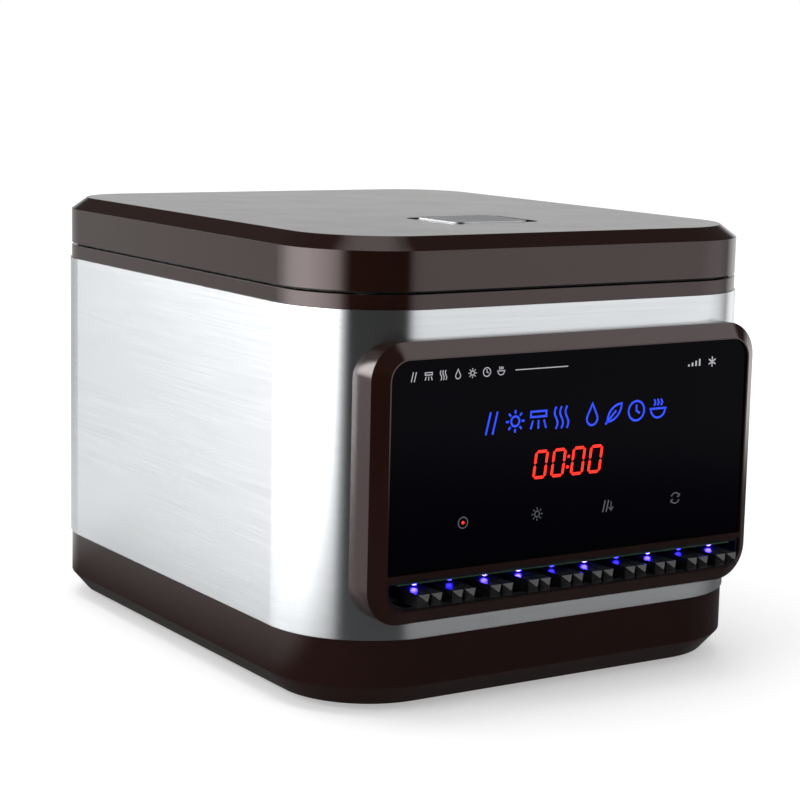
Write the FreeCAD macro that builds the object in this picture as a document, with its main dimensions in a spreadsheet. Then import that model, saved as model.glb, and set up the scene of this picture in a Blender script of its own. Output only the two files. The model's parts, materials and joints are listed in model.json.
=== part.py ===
import FreeCAD, Part
import math
import os
import re
import Sketcher

# Counter-top chopstick steriliser and dispenser: a brown plastic base tray and lid round a brushed
# steel wrap, with a glass control panel in a bevelled bezel above a row of ten outlet lanes.
# +Z is up, the front faces -Y, and the origin is at the middle of the footprint, under the feet.

doc = FreeCAD.newDocument("ChopstickSteriliser")

# Every driving dimension, in millimetres unless the note says otherwise.
SIZES = [
    ("body_width", 300.0, "width of the plastic base, rim and lid"),
    ("body_depth", 360.0, "depth of the plastic base, rim and lid"),
    ("front_corner", 60.0, "plan radius of the two front corners"),
    ("rear_corner", 50.0, "plan radius of the two rear corners"),
    ("fit_gap", 0.15, "clearance between a moulding and what drops into it"),
    ("run_gap", 0.05, "radial clearance of a pin in its bore"),
    ("foot_height", 4.0, "rubber foot below the base"),
    ("foot_side", 18.0, "side of a square rubber foot"),
    ("foot_inset", 52.0, "foot centre to the sides of the base"),
    ("base_height", 38.0, "height of the base tray side"),
    ("base_wall", 3.0, "wall of the base tray and its floor"),
    ("base_bevel_rise", 11.5, "height of the bevel round the underside"),
    ("base_bevel_inset", 10.0, "width of the bevel round the underside"),
    ("lip_height", 6.0, "locating lip that stands inside the wrap"),
    ("vent_length", 60.0, "length of a vent slot in the base"),
    ("vent_width", 3.2, "width of a vent slot"),
    ("vent_pitch", 8.0, "spacing of the vent slots"),
    ("vent_count", 8.0, "number of vent slots in the base"),
    ("wrap_height", 176.0, "height of the steel wrap"),
    ("wrap_gauge", 1.2, "thickness of the steel wrap"),
    ("wrap_proud", 0.8, "how far the wrap stands outside the plastic"),
    ("rim_height", 8.0, "height of the top rim"),
    ("rim_wall", 3.0, "wall and deck thickness of the rim"),
    ("seam_gap", 1.7, "gap between the rim and the closed lid"),
    ("lid_side", 21.0, "straight side of the lid"),
    ("lid_bevel_rise", 7.0, "height of the lid's top bevel"),
    ("lid_bevel_inset", 9.5, "width of the lid's top bevel"),
    ("lid_wall", 2.8, "wall of the lid"),
    ("hinge_offset", 5.5, "hinge axis behind the rear face"),
    ("leaf_height", 8.0, "height of the lid's hinge web"),
    ("hinge_root", 2.0, "how far a hinge web is let into the rear wall"),
    ("hinge_inset", 10.0, "hinge centre inside the straight part of the rear face"),
    ("knuckle_radius", 5.0, "outer radius of a hinge knuckle"),
    ("knuckle_length", 24.0, "length of the rim's knuckle"),
    ("leaf_length", 12.0, "length of each lid knuckle"),
    ("knuckle_gap", 0.3, "end clearance between knuckles"),
    ("pin_radius", 2.0, "radius of a hinge pin"),
    ("grip_width", 52.0, "width of the lid's grip plate"),
    ("grip_depth", 44.0, "depth of the lid's grip plate"),
    ("grip_gauge", 3.0, "thickness of the grip plate"),
    ("grip_proud", 0.6, "grip plate above the lid"),
    ("grip_centre", 84.0, "grip centre in front of the middle of the lid"),
    ("grip_corner", 7.0, "corner radius of the grip plate"),
    ("cup_margin", 7.0, "finger room beside the grip plate"),
    ("cup_slack", 1.6, "gap in front of and behind the grip plate"),
    ("cup_drop", 10.0, "depth of the grip recess"),
    ("cup_wall", 2.2, "wall of the grip recess"),
    ("grip_pin_radius", 1.5, "radius of the grip's hinge pin"),
    ("pin_seat", 1.2, "depth of the grip pin's seat in the recess wall"),
    ("barrel_radius", 2.6, "radius of the grip's hinge barrel"),
    ("liner_lift", 1.2, "underside of the liner above the lid's lower edge"),
    ("liner_gauge", 1.5, "thickness of the lid liner"),
    ("seal_width", 5.0, "width of the lid seal"),
    ("seal_squeeze", 0.3, "seal above the top rim when the lid is shut"),
    ("seal_margin", 1.0, "lid seal inside the lid's wall"),
    ("lamp_radius", 8.0, "radius of the ultraviolet tube"),
    ("lamp_length", 196.0, "length of the ultraviolet tube"),
    ("lamp_cap_length", 9.0, "length of each lamp cap"),
    ("lamp_window", 34.0, "width of the lamp opening in the liner"),
    ("lamp_back", 12.0, "lamp axis behind the middle of the lid"),
    ("reflector_gauge", 0.8, "sheet of the lamp reflector"),
    ("reflector_rise", 19.0, "height of the lamp reflector"),
    ("reflector_flange", 7.0, "width of the reflector's flange"),
    ("reflector_end", 4.0, "reflector beyond each lamp cap"),
    ("bezel_width", 259.0, "width of the front bezel"),
    ("bezel_drop", 48.0, "bezel's lower edge above the base's underside"),
    ("bezel_height", 150.4, "height of the front bezel"),
    ("bezel_corner", 20.0, "corner radius of the bezel"),
    ("bezel_reach", 10.7, "bezel face in front of the plastic body"),
    ("bevel_width", 8.8, "width of the bezel's bevel"),
    ("bevel_depth", 6.1, "depth of the bezel's bevel"),
    ("bar_height", 3.2, "bar between the glass and the outlet"),
    ("outlet_height", 16.2, "height of the outlet in the bezel"),
    ("bezel_ledge", 6.0, "ledge that the glass rests on"),
    ("glass_gauge", 3.0, "thickness of the control glass"),
    ("glass_recess", 1.4, "glass behind the bezel's face"),
    ("window_inset", 6.5, "wrap opening inside the bezel's edge"),
    ("board_gauge", 1.6, "thickness of a circuit board"),
    ("board_width", 172.0, "width of the display board"),
    ("clock_width", 58.0, "width of the clock module"),
    ("clock_height", 24.0, "height of the clock module"),
    ("clock_level", 127.0, "clock centre above the base's underside"),
    ("message_width", 136.0, "width of the message module"),
    ("message_height", 18.0, "height of the message module"),
    ("message_level", 151.0, "message centre above the base's underside"),
    ("module_depth", 4.8, "depth of the light modules"),
    ("trough_wall", 1.6, "wall of the outlet trough"),
    ("trough_length", 29.0, "length of the outlet trough"),
    ("trough_setback", 1.4, "trough behind the bezel's face"),
    ("lane_count", 10.0, "number of outlet lanes"),
    ("lane_pitch", 22.5, "spacing of the lanes"),
    ("lane_rib", 1.8, "thickness of the ribs between lanes"),
    ("lane_depth", 5.7, "height of the ribs above the lane floor"),
    ("lane_floor", 2.7, "thickness of the lane floor"),
    ("lane_chamfer", 4.5, "bevel under the outer lanes that clears the trough's corners"),
    ("lane_front", 176.0, "front end of the lanes before the middle"),
    ("lane_rear", 96.0, "rear end of the lanes behind the middle"),
    ("stick_square", 7.0, "side of a chopstick's square end"),
    ("stick_length", 240.0, "length of a chopstick"),
    ("stick_point", 3.0, "height of the pyramid on the square end"),
    ("stick_flat", 1.0, "side of the pyramid's blunt top"),
    ("stick_shank", 110.0, "length of the square part"),
    ("stick_tip", 4.4, "side of the thin end"),
    ("stick_split", 0.9, "gap between the two sticks of a pair"),
    ("stick_reach", 26.0, "chopstick ends in front of the plastic body"),
    ("stick_lift", 0.05, "chopstick above the lane floor"),
    ("pair_drift", 2.0, "how far a pair may lie off its lane's middle"),
    ("led_side", 2.8, "side of an outlet lamp"),
    ("led_strip_end", 7.0, "outlet lamp strip inside the end of the outlet"),
    ("led_height", 1.3, "height of an outlet lamp"),
    ("led_strip_width", 6.0, "width of the outlet lamp strip"),
    ("led_strip_gauge", 0.8, "thickness of the outlet lamp strip"),
    ("led_setback", 4.6, "outlet lamps behind the bezel's face"),
    ("hopper_front", 152.0, "inside front of the hopper before the middle"),
    ("hopper_rear", 94.0, "inside rear of the hopper behind the middle"),
    ("hopper_half", 111.0, "half the inside width of the hopper at the bottom"),
    ("hopper_flare", 6.0, "how much wider the hopper is at the top on each side"),
    ("hopper_gauge", 1.2, "sheet of the hopper"),
    ("hopper_flange", 9.0, "width of the hopper's top flange"),
    ("hopper_gate", 2.0, "hopper's lower edge above the chopsticks"),
    ("gate_margin", 9.0, "hopper sheet left beside the pusher's gate"),
    ("gate_gap", 1.0, "pusher and rack clearance in the gate"),
    ("slot_margin", 6.0, "solid edge round the air slots and the rear grille"),
    ("air_slot_count", 9.0, "warm air slots in the hopper"),
    ("air_slot_width", 3.0, "width of a warm air slot"),
    ("frame_gauge", 1.5, "sheet of the feed frame"),
    ("frame_foot", 12.0, "width of the feed frame's feet"),
    ("frame_front", 150.0, "front end of the feed frame before the middle"),
    ("frame_rear", 150.0, "rear end of the feed frame behind the middle"),
    ("frame_rise", 10.0, "feed frame's side above its web"),
    ("leg_width", 26.0, "width of a leg of the feed frame"),
    ("arch_radius", 12.0, "corner radius of the arch between the legs"),
    ("comb_front", 98.0, "face of the pusher fingers behind the middle"),
    ("comb_depth", 10.0, "depth of the pusher comb"),
    ("comb_height", 7.0, "height of the pusher's crossbar"),
    ("comb_gap", 0.3, "pusher clearance over the lanes"),
    ("finger_width", 15.0, "width of a pusher finger"),
    ("push_stroke", 58.0, "travel of the pusher comb"),
    ("gear_module", 1.5, "module of the rack and pinion"),
    ("pinion_teeth", 18.0, "teeth on the pinion"),
    ("gear_play", 0.25, "backlash taken off each tooth"),
    ("gear_width", 8.0, "width of the rack"),
    ("rack_body", 5.0, "rack below its teeth"),
    ("pinion_setback", 8.0, "pinion axis behind the comb"),
    ("shaft_radius", 3.0, "radius of the pinion's shaft"),
    ("shaft_length", 17.0, "length of the pinion's shaft"),
    ("shaft_stub", 1.0, "shaft that shows on the pinion's free side"),
    ("shaft_room", 0.6, "clearance of the shaft in the motor bracket"),
    ("motor_radius", 12.0, "radius of the gear motor"),
    ("motor_length", 34.0, "length of the gear motor"),
    ("gearbox_side", 25.6, "side of the motor's square gearbox"),
    ("gearbox_length", 18.0, "length of the motor's gearbox"),
    ("gearbox_gap", 1.0, "bracket beside the pinion"),
    ("bracket_gauge", 2.0, "sheet of the motor bracket"),
    ("bracket_foot_width", 22.0, "foot of the motor bracket"),
    ("bracket_edge", 4.0, "bracket sheet round the gearbox"),
    ("guide_length", 16.0, "length of the rack guide"),
    ("guide_cheek", 3.0, "cheek of the rack guide"),
    ("fan_side", 80.0, "side of the fan frame"),
    ("fan_depth", 25.0, "depth of the fan frame"),
    ("fan_bore", 38.0, "radius of the fan's bore"),
    ("hub_radius", 16.0, "radius of the fan hub"),
    ("blade_count", 7.0, "number of fan blades"),
    ("blade_gap", 1.2, "blade tip to the bore"),
    ("blade_half", 6.5, "half the width of a blade across the airflow"),
    ("blade_gauge", 1.6, "thickness of a blade"),
    ("hub_gauge", 3.0, "thickness of the fan's motor plate"),
    ("spoke_half", 2.0, "half the width of a fan spoke"),
    ("spoke_gauge", 2.5, "thickness of a fan spoke"),
    ("frame_corner", 5.0, "corner radius of the fan frame"),
    ("fan_side_offset", 56.0, "fan axis left of the middle"),
    ("fan_level", 158.0, "fan axis above the floor"),
    ("duct_gauge", 1.0, "sheet of the heater duct"),
    ("duct_gap", 1.5, "duct in front of the hopper's rear wall"),
    ("heater_depth", 14.0, "depth of the heater core"),
    ("heater_back", 12.0, "heater core in front of the fan"),
    ("heater_base", 4.0, "thickness of the heater core's base"),
    ("fin_margin", 3.0, "first heater fin inside the end of the base"),
    ("fin_count", 11.0, "number of heater fins"),
    ("fin_gauge", 0.8, "thickness of a heater fin"),
    ("fin_pitch", 6.0, "spacing of the heater fins"),
    ("grille_slot", 3.0, "height of a slot in the rear grille"),
    ("grille_pitch", 8.0, "spacing of the rear grille's slots"),
    ("grille_count", 8.0, "slots in the rear grille"),
    ("supply_width", 92.0, "width of the power board"),
    ("supply_height", 78.0, "height of the power board"),
    ("supply_gap", 2.0, "power board beside the curve of the rear corner"),
    ("supply_level", 160.0, "power board centre above the floor"),
    ("standoff_length", 10.0, "power board in front of the rear wall"),
    ("standoff_side", 6.0, "side of a board stand-off"),
    ("standoff_inset", 3.0, "stand-off inside the board's edge"),
    ("coil_width", 34.0, "width of the transformer"),
    ("coil_height", 36.0, "height of the transformer"),
    ("coil_depth", 26.0, "depth of the transformer"),
    ("coil_inset", 8.0, "transformer inside the board's left edge"),
    ("inlet_side", 70.0, "mains inlet right of the middle"),
    ("inlet_level", 66.0, "mains inlet above the floor"),
    ("inlet_width", 27.0, "width of the inlet's body"),
    ("inlet_height", 20.0, "height of the inlet's body"),
    ("inlet_depth", 20.0, "depth of the inlet's body"),
    ("inlet_flange", 11.0, "inlet flange beside its body"),
    ("inlet_wall", 1.5, "wall of the inlet's socket"),
    ("inlet_plate", 2.0, "thickness of the inlet's flange"),
    ("inlet_back", 3.0, "thickness of the inlet's back"),
    ("blade_pin_length", 14.0, "length of an inlet pin"),
    ("blade_pin_gauge", 2.0, "thickness of an inlet pin"),
    ("blade_pin_height", 4.0, "height of an inlet pin"),
    ("blade_pin_pitch", 7.0, "outer inlet pins from the middle one"),
]

sheet = doc.addObject("Spreadsheet::Sheet", "Sizes")
for row, (alias, number, note) in enumerate(SIZES, start=1):
    sheet.set(f"A{row}", alias)
    sheet.set(f"B{row}", str(number))
    sheet.set(f"C{row}", note)
    sheet.setAlias(f"B{row}", alias)
doc.recompute()

# Levels and lines that several pieces share, worked out from the sizes above.
DERIVED = {
    "half_width": "body_width / 2",
    "half_depth": "body_depth / 2",
    "body_shift": "(stick_reach - hinge_offset - knuckle_radius) / 2",
    "base_top": "foot_height + base_height",
    "floor_top": "foot_height + base_wall",
    "wrap_in": "wrap_gauge - wrap_proud",
    "wrap_top": "base_top + wrap_height",
    "rim_top": "wrap_top + rim_height",
    "lid_low": "rim_top + seam_gap",
    "lid_shoulder": "lid_low + lid_side",
    "lid_top": "lid_shoulder + lid_bevel_rise",
    "hinge_level": "rim_top + seam_gap / 2",
    "hinge_line": "half_depth + hinge_offset",
    "hinge_spread": "half_width - rear_corner - hinge_inset",
    "cup_half": "grip_width / 2 + cup_margin",
    "cup_front": "grip_centre + grip_depth / 2 + cup_slack",
    "cup_rear": "grip_centre - grip_depth / 2 - cup_slack",
    "grip_low": "lid_top + grip_proud - grip_gauge",
    "grip_axis": "lid_top + grip_proud - barrel_radius",
    "grip_line": "grip_depth / 2 - grip_centre - barrel_radius",
    "liner_low": "lid_low + liner_lift",
    "liner_top": "liner_low + liner_gauge",
    "lamp_level": "liner_top + lamp_radius + 2",
    "bezel_face": "half_depth + bezel_reach",
    "bezel_low": "foot_height + bezel_drop",
    "bezel_top": "bezel_low + bezel_height",
    "inner_half": "bezel_width / 2 - bevel_width",
    "inner_corner": "bezel_corner - bevel_width",
    "outlet_low": "bezel_low + bevel_width",
    "outlet_top": "outlet_low + outlet_height",
    "glass_low": "outlet_top + bar_height",
    "glass_high": "bezel_top - bevel_width",
    "ledge_back": "half_depth + wrap_proud",
    "lane_bottom": "outlet_low + fit_gap + trough_wall",
    "lane_level": "lane_bottom + lane_floor",
    "rib_top": "lane_level + lane_depth",
    "lane_half": "lane_count * lane_pitch / 2 + lane_rib / 2",
    "stick_low": "lane_level + stick_lift",
    "stick_top": "stick_low + stick_square",
    "stick_end": "half_depth + stick_reach",
    "trough_roof": "outlet_top - fit_gap - trough_wall",
    "hopper_low": "stick_top + hopper_gate",
    "comb_low": "rib_top + comb_gap",
    "comb_rear": "comb_front + comb_depth",
    "web_top": "lane_bottom",
    "frame_half": "lane_half + fit_gap",
    "rack_low": "comb_low",
    "pitch_line": "rack_low + rack_body + 1.25 * gear_module",
    "pitch_radius": "gear_module * pinion_teeth / 2",
    "pinion_level": "pitch_line + pitch_radius",
    "pinion_line": "comb_rear + pinion_setback",
    "rack_teeth": "floor((pinion_setback + push_stroke) / (gear_module * 3.141592654) + 1.5)",
    "gearbox_face": "gear_width / 2 + gearbox_gap",
    "rear_inside": "half_depth - wrap_in",
    "supply_side": "half_width - rear_corner - supply_gap - supply_width / 2",
    "fan_front": "rear_inside - fit_gap - fan_depth",
}


def expand(text):
    """Write a formula of size names as an expression that reads the spreadsheet."""
    def name(match):
        word = match.group(0)
        if word in DERIVED:
            return "(" + expand(DERIVED[word]) + ")"
        return "Sizes." + word
    return re.sub(r"\b[a-z]+(?:_[a-z]+)+\b", name, str(text))


def value(text):
    """The present number of a formula of size names."""
    return float(sheet.evalExpression(expand(text)))


def count(text):
    return int(round(value(text)))


def bind(thing, **formulas):
    """Tie properties to formulas; a double underscore in a name stands for a dot."""
    for key, formula in formulas.items():
        thing.setExpression(key.replace("__", "."), expand(formula))


# ---- sketches and features ----------------------------------------------------------------

def new_body(label):
    body = doc.addObject("PartDesign::Body", label)
    body.Label = label
    return body


def origin_plane(body, role):
    return next(item for item in body.Origin.OriginFeatures if item.Role == role)


def new_sketch(body, role, offset="0"):
    """A sketch on an origin plane: XY faces up, XZ faces the front and YZ faces right."""
    sketch = body.newObject("Sketcher::SketchObject", body.Label + "_sketch")
    sketch.AttachmentSupport = (origin_plane(body, role), [""])
    sketch.MapMode = "FlatFace"
    bind(sketch, AttachmentOffset__Base__z=offset)
    return sketch


def dimension(sketch, kind, places, formula):
    index = sketch.addConstraint(Sketcher.Constraint(kind, *places, value(formula)))
    sketch.renameConstraint(index, f"size_{index}")
    sketch.setExpression(f"Constraints.size_{index}", expand(formula))


def point(x, y):
    return FreeCAD.Vector(x, y, 0)


def rounded(sketch, x_low, x_high, y_low, y_high, r_low, r_high=None):
    """A rectangle with tangent corner arcs: r_low at y_low and r_high at y_high."""
    r_high = r_high or r_low
    a, b, c, d = (value(item) for item in (x_low, x_high, y_low, y_high))
    r, s = value(r_low), value(r_high)

    def line(start, end):
        return sketch.addGeometry(Part.LineSegment(point(*start), point(*end)), False)

    def corner(x, y, radius, turn):
        circle = Part.Circle(point(x, y), FreeCAD.Vector(0, 0, 1), radius)
        arc = Part.ArcOfCircle(circle, turn * math.pi / 2, (turn + 1) * math.pi / 2)
        return sketch.addGeometry(arc, False)

    low = line((a + r, c), (b - r, c))
    low_right = corner(b - r, c + r, r, -1)
    right = line((b, c + r), (b, d - s))
    high_right = corner(b - s, d - s, s, 0)
    high = line((b - s, d), (a + s, d))
    high_left = corner(a + s, d - s, s, 1)
    left = line((a, d - s), (a, c + r))
    low_left = corner(a + r, c + r, r, 2)
    ring = [low, low_right, right, high_right, high, high_left, left, low_left]
    for this, following in zip(ring, ring[1:] + ring[:1]):
        sketch.addConstraint(Sketcher.Constraint("Tangent", this, 2, following, 1))
    for side, kind in ((low, "Horizontal"), (high, "Horizontal"), (left, "Vertical"), (right, "Vertical")):
        sketch.addConstraint(Sketcher.Constraint(kind, side))
    dimension(sketch, "DistanceX", (-1, 1, left, 1), x_low)
    dimension(sketch, "DistanceX", (-1, 1, right, 1), x_high)
    dimension(sketch, "DistanceY", (-1, 1, low, 1), y_low)
    dimension(sketch, "DistanceY", (-1, 1, high, 1), y_high)
    dimension(sketch, "Radius", (low_right,), r_low)
    dimension(sketch, "Radius", (high_right,), r_high)
    sketch.addConstraint(Sketcher.Constraint("Equal", low_right, low_left))
    sketch.addConstraint(Sketcher.Constraint("Equal", high_right, high_left))


def polygon(sketch, corners):
    """A closed outline of straight lines, with every corner dimensioned from the origin."""
    spots = [point(value(x), value(y)) for x, y in corners]
    lines = [
        sketch.addGeometry(Part.LineSegment(start, end), False)
        for start, end in zip(spots, spots[1:] + spots[:1])
    ]
    for this, following in zip(lines, lines[1:] + lines[:1]):
        sketch.addConstraint(Sketcher.Constraint("Coincident", this, 2, following, 1))
    for line, (x, y) in zip(lines, corners):
        dimension(sketch, "DistanceX", (-1, 1, line, 1), x)
        dimension(sketch, "DistanceY", (-1, 1, line, 1), y)


def rectangle(sketch, x_low, x_high, y_low, y_high):
    polygon(sketch, [(x_low, y_low), (x_high, y_low), (x_high, y_high), (x_low, y_high)])


def circle(sketch, x, y, radius):
    shape = Part.Circle(point(value(x), value(y)), FreeCAD.Vector(0, 0, 1), value(radius))
    index = sketch.addGeometry(shape, False)
    dimension(sketch, "DistanceX", (-1, 1, index, 3), x)
    dimension(sketch, "DistanceY", (-1, 1, index, 3), y)
    dimension(sketch, "Radius", (index,), radius)


def pad(body, sketch, length, reverse=False, both=False):
    feature = body.newObject("PartDesign::Pad", body.Label + "_pad")
    feature.Profile = sketch
    feature.Reversed = reverse
    feature.Midplane = both
    bind(feature, Length=length)
    return feature


def pocket(body, sketch, length, reverse=False, both=False):
    """Cut against the sketch's normal, or along it when reversed; it must remove something."""
    doc.recompute()
    before = body.Shape.Volume
    feature = body.newObject("PartDesign::Pocket", body.Label + "_pocket")
    feature.Profile = sketch
    feature.Reversed = reverse
    feature.Midplane = both
    bind(feature, Length=length)
    doc.recompute()
    if before - body.Shape.Volume < 0.01:
        raise RuntimeError(f"a pocket of {body.Label} cuts nothing")
    return feature


def loft(body, kind, first, last):
    feature = body.newObject("PartDesign::" + kind, body.Label + "_loft")
    feature.Profile = first
    feature.Sections = [(last, [""])]
    feature.Ruled = True
    return feature


def row_of(body, feature, role, number, pitch):
    """Repeat a feature along an origin axis."""
    pattern = body.newObject("PartDesign::LinearPattern", body.Label + "_row")
    pattern.Originals = [feature]
    pattern.Direction = (origin_plane(body, role), [""])
    bind(pattern, Length=f"({pitch}) * ({number} - 1)", Occurrences=number)
    body.Tip = pattern
    return pattern


def ring_of(body, feature, role, number):
    """Repeat a feature round an origin axis."""
    pattern = body.newObject("PartDesign::PolarPattern", body.Label + "_ring")
    pattern.Originals = [feature]
    pattern.Axis = (origin_plane(body, role), [""])
    pattern.Angle = 360
    bind(pattern, Occurrences=number)
    body.Tip = pattern
    return pattern


def mirror(body, features, role="YZ_Plane"):
    feature = body.newObject("PartDesign::Mirrored", body.Label + "_mirror")
    feature.Originals = features
    feature.MirrorPlane = (origin_plane(body, role), [""])
    body.Tip = feature
    return feature


# ---- primitives and booleans ---------------------------------------------------------------

def box(label, x_low, x_high, y_low, y_high, z_low, z_high):
    thing = doc.addObject("Part::Box", label)
    bind(thing, Length=f"({x_high}) - ({x_low})", Width=f"({y_high}) - ({y_low})")
    bind(thing, Height=f"({z_high}) - ({z_low})")
    bind(thing, Placement__Base__x=x_low, Placement__Base__y=y_low, Placement__Base__z=z_low)
    return thing


TURNS = {
    "x": FreeCAD.Rotation(FreeCAD.Vector(0, 1, 0), 90),
    "y": FreeCAD.Rotation(FreeCAD.Vector(1, 0, 0), -90),
    "z": FreeCAD.Rotation(),
}


def rod(label, axis, x, y, z, radius, length):
    """A cylinder that starts at a point and runs along +X, +Y or +Z."""
    thing = doc.addObject("Part::Cylinder", label)
    thing.Placement = FreeCAD.Placement(FreeCAD.Vector(), TURNS[axis])
    bind(thing, Radius=radius, Height=length)
    bind(thing, Placement__Base__x=x, Placement__Base__y=y, Placement__Base__z=z)
    return thing


def cut(label, base, tool):
    thing = doc.addObject("Part::Cut", label)
    thing.Base = base
    thing.Tool = tool
    return thing


def fuse(label, *things):
    thing = doc.addObject("Part::MultiFuse", label)
    thing.Shapes = list(things)
    return thing


def group(label, *things):
    """Several loose solids of one kind under one name."""
    thing = doc.addObject("Part::Compound", label)
    thing.Links = list(things)
    return thing


parts = []


def keep(thing, label=None):
    """Name a finished sub-part and move it from the body's middle to the footprint's middle."""
    thing.Label = label or thing.Label
    formulas = {path.lstrip("."): formula for path, formula in thing.ExpressionEngine}
    standing = formulas.get("Placement.Base.y", "0")
    thing.setExpression("Placement.Base.y", f"{standing} + {expand('body_shift')}")
    parts.append(thing)
    return thing


# ---- shared outlines ------------------------------------------------------------------------

def outline(sketch, inset):
    """The plan of the body, moved inwards."""
    rounded(
        sketch,
        f"{inset} - half_width", f"half_width - ({inset})",
        f"{inset} - half_depth", f"half_depth - ({inset})",
        f"front_corner - ({inset})", f"rear_corner - ({inset})",
    )


def band(body, level, height, outer, inner, reverse=False):
    """A ring that follows the body's plan between two insets."""
    sketch = new_sketch(body, "XY_Plane", level)
    outline(sketch, outer)
    outline(sketch, inner)
    return pad(body, sketch, height, reverse)


def bevelled_block(body, low, high, bevel_from, inset, upward):
    """The body's plan as a block whose lower or upper part leans inwards."""
    straight = new_sketch(body, "XY_Plane", bevel_from)
    outline(straight, "0")
    if upward:
        pad(body, straight, f"({bevel_from}) - ({low})", reverse=True)
        end = high
    else:
        pad(body, straight, f"({high}) - ({bevel_from})")
        end = low
    wide = new_sketch(body, "XY_Plane", bevel_from)
    outline(wide, "0")
    narrow = new_sketch(body, "XY_Plane", end)
    outline(narrow, inset)
    return loft(body, "AdditiveLoft", wide, narrow)


def hollow(body, shoulder, wall, mouth, end):
    """Clear the inside of a bevelled block: wide up to its bevel, and narrow from there to the end."""
    wide = new_sketch(body, "XY_Plane", shoulder)
    outline(wide, wall)
    pocket(body, wide, f"abs(({mouth}) - ({shoulder}))", reverse=value(mouth) > value(shoulder))
    narrow = new_sketch(body, "XY_Plane", shoulder)
    outline(narrow, f"{wall} + {end[1]}")
    pocket(body, narrow, f"abs(({end[0]}) - ({shoulder}))", reverse=value(end[0]) > value(shoulder))


def knuckle(body, x_low, length, level_low, level_high):
    """A hinge knuckle with the web that ties it to the rear wall."""
    web = new_sketch(body, "YZ_Plane", x_low)
    rectangle(web, "half_depth - hinge_root", "hinge_line", level_low, level_high)
    barrel = new_sketch(body, "YZ_Plane", x_low)
    circle(barrel, "hinge_line", "hinge_level", "knuckle_radius")
    return [pad(body, web, length), pad(body, barrel, length)]


def bore_hinge(body):
    line = new_sketch(body, "YZ_Plane")
    circle(line, "hinge_line", "hinge_level", "pin_radius + run_gap")
    return pocket(body, line, "body_width", both=True)


# ---- casing -----------------------------------------------------------------------------------

def base_tray():
    """Bevelled side with a lip for the wrap, and the vented floor that drops into its open underside."""
    body = new_body("base_tray")
    bevelled_block(
        body, "foot_height", "base_top", "foot_height + base_bevel_rise", "base_bevel_inset", False)
    hollow(
        body, "foot_height + base_bevel_rise", "base_wall", "base_top",
        ("foot_height", "base_bevel_inset - base_wall / 2"))
    band(body, "base_top", "lip_height", "wrap_in + fit_gap", "base_wall")
    keep(body)
    floor = new_body("base_floor")
    plate = new_sketch(floor, "XY_Plane", "foot_height")
    outline(plate, "base_bevel_inset + base_wall / 2 + fit_gap")
    pad(floor, plate, "floor_top - foot_height")
    slot = new_sketch(floor, "XY_Plane", "foot_height")
    rectangle(slot, "-vent_length / 2", "vent_length / 2", "-vent_width / 2", "vent_width / 2")
    first = pocket(floor, slot, "2 * base_wall", reverse=True)
    row_of(floor, first, "Y_Axis", "vent_count", "vent_pitch")
    keep(floor)


def feet():
    standing = []
    for side, across in (("left", "foot_inset - half_width"), ("right", "half_width - foot_inset")):
        for end, along in (("front", "foot_inset - half_depth"), ("rear", "half_depth - foot_inset")):
            standing.append(box(
                f"foot_{end}_{side}", f"{across} - foot_side / 2", f"{across} + foot_side / 2",
                f"{along} - foot_side / 2", f"{along} + foot_side / 2", "0", "foot_height"))
    keep(group("feet", *standing))


def steel_wrap():
    body = new_body("steel_wrap")
    band(body, "base_top", "wrap_height", "-wrap_proud", "wrap_in")
    window = new_sketch(body, "XZ_Plane", "bezel_face")
    rounded(
        window,
        "window_inset - bezel_width / 2", "bezel_width / 2 - window_inset",
        "bezel_low + window_inset", "bezel_top - window_inset",
        "bezel_corner - window_inset",
    )
    pocket(body, window, "bezel_reach + front_corner")
    inlet = new_sketch(body, "XZ_Plane", "front_corner - half_depth")
    rectangle(
        inlet,
        "inlet_side - inlet_width / 2 - fit_gap", "inlet_side + inlet_width / 2 + fit_gap",
        "inlet_level - inlet_height / 2 - fit_gap", "inlet_level + inlet_height / 2 + fit_gap",
    )
    pocket(body, inlet, "2 * front_corner")
    slot = new_sketch(body, "XZ_Plane", "front_corner - half_depth")
    low = "fan_level - (grille_count - 1) * grille_pitch / 2"
    rectangle(
        slot,
        "slot_margin - fan_side_offset - fan_bore", "fan_bore - fan_side_offset - slot_margin",
        f"{low} - grille_slot / 2", f"{low} + grille_slot / 2",
    )
    first = pocket(body, slot, "2 * front_corner")
    row_of(body, first, "Z_Axis", "grille_count", "grille_pitch")
    return keep(body)


def hopper_edge(sketch, outside):
    """The hopper's plan at its top flange, moved outwards."""
    rectangle(
        sketch,
        f"-hopper_half - hopper_flare - ({outside})", f"hopper_half + hopper_flare + {outside}",
        f"-hopper_front - hopper_flare - ({outside})", f"hopper_rear + hopper_flare + {outside}",
    )


def top_rim():
    body = new_body("top_rim")
    sketch = new_sketch(body, "XY_Plane", "wrap_top")
    outline(sketch, "0")
    pad(body, sketch, "rim_height")
    mouth = new_sketch(body, "XY_Plane", "rim_top")
    hopper_edge(mouth, "hopper_gauge + fit_gap")
    pocket(body, mouth, "rim_height")
    ledge = new_sketch(body, "XY_Plane", "rim_top")
    hopper_edge(ledge, "hopper_flange + fit_gap")
    pocket(body, ledge, "hopper_gauge")
    under = new_sketch(body, "XY_Plane", "wrap_top")
    outline(under, "base_wall")
    pocket(body, under, "rim_height - rim_wall", reverse=True)
    band(body, "wrap_top", "lip_height", "wrap_in + fit_gap", "base_wall", reverse=True)
    pads = knuckle(
        body, "hinge_spread - knuckle_length / 2", "knuckle_length", "wrap_top + 1", "rim_top")
    mirror(body, pads)
    bore_hinge(body)
    return keep(body)


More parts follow.
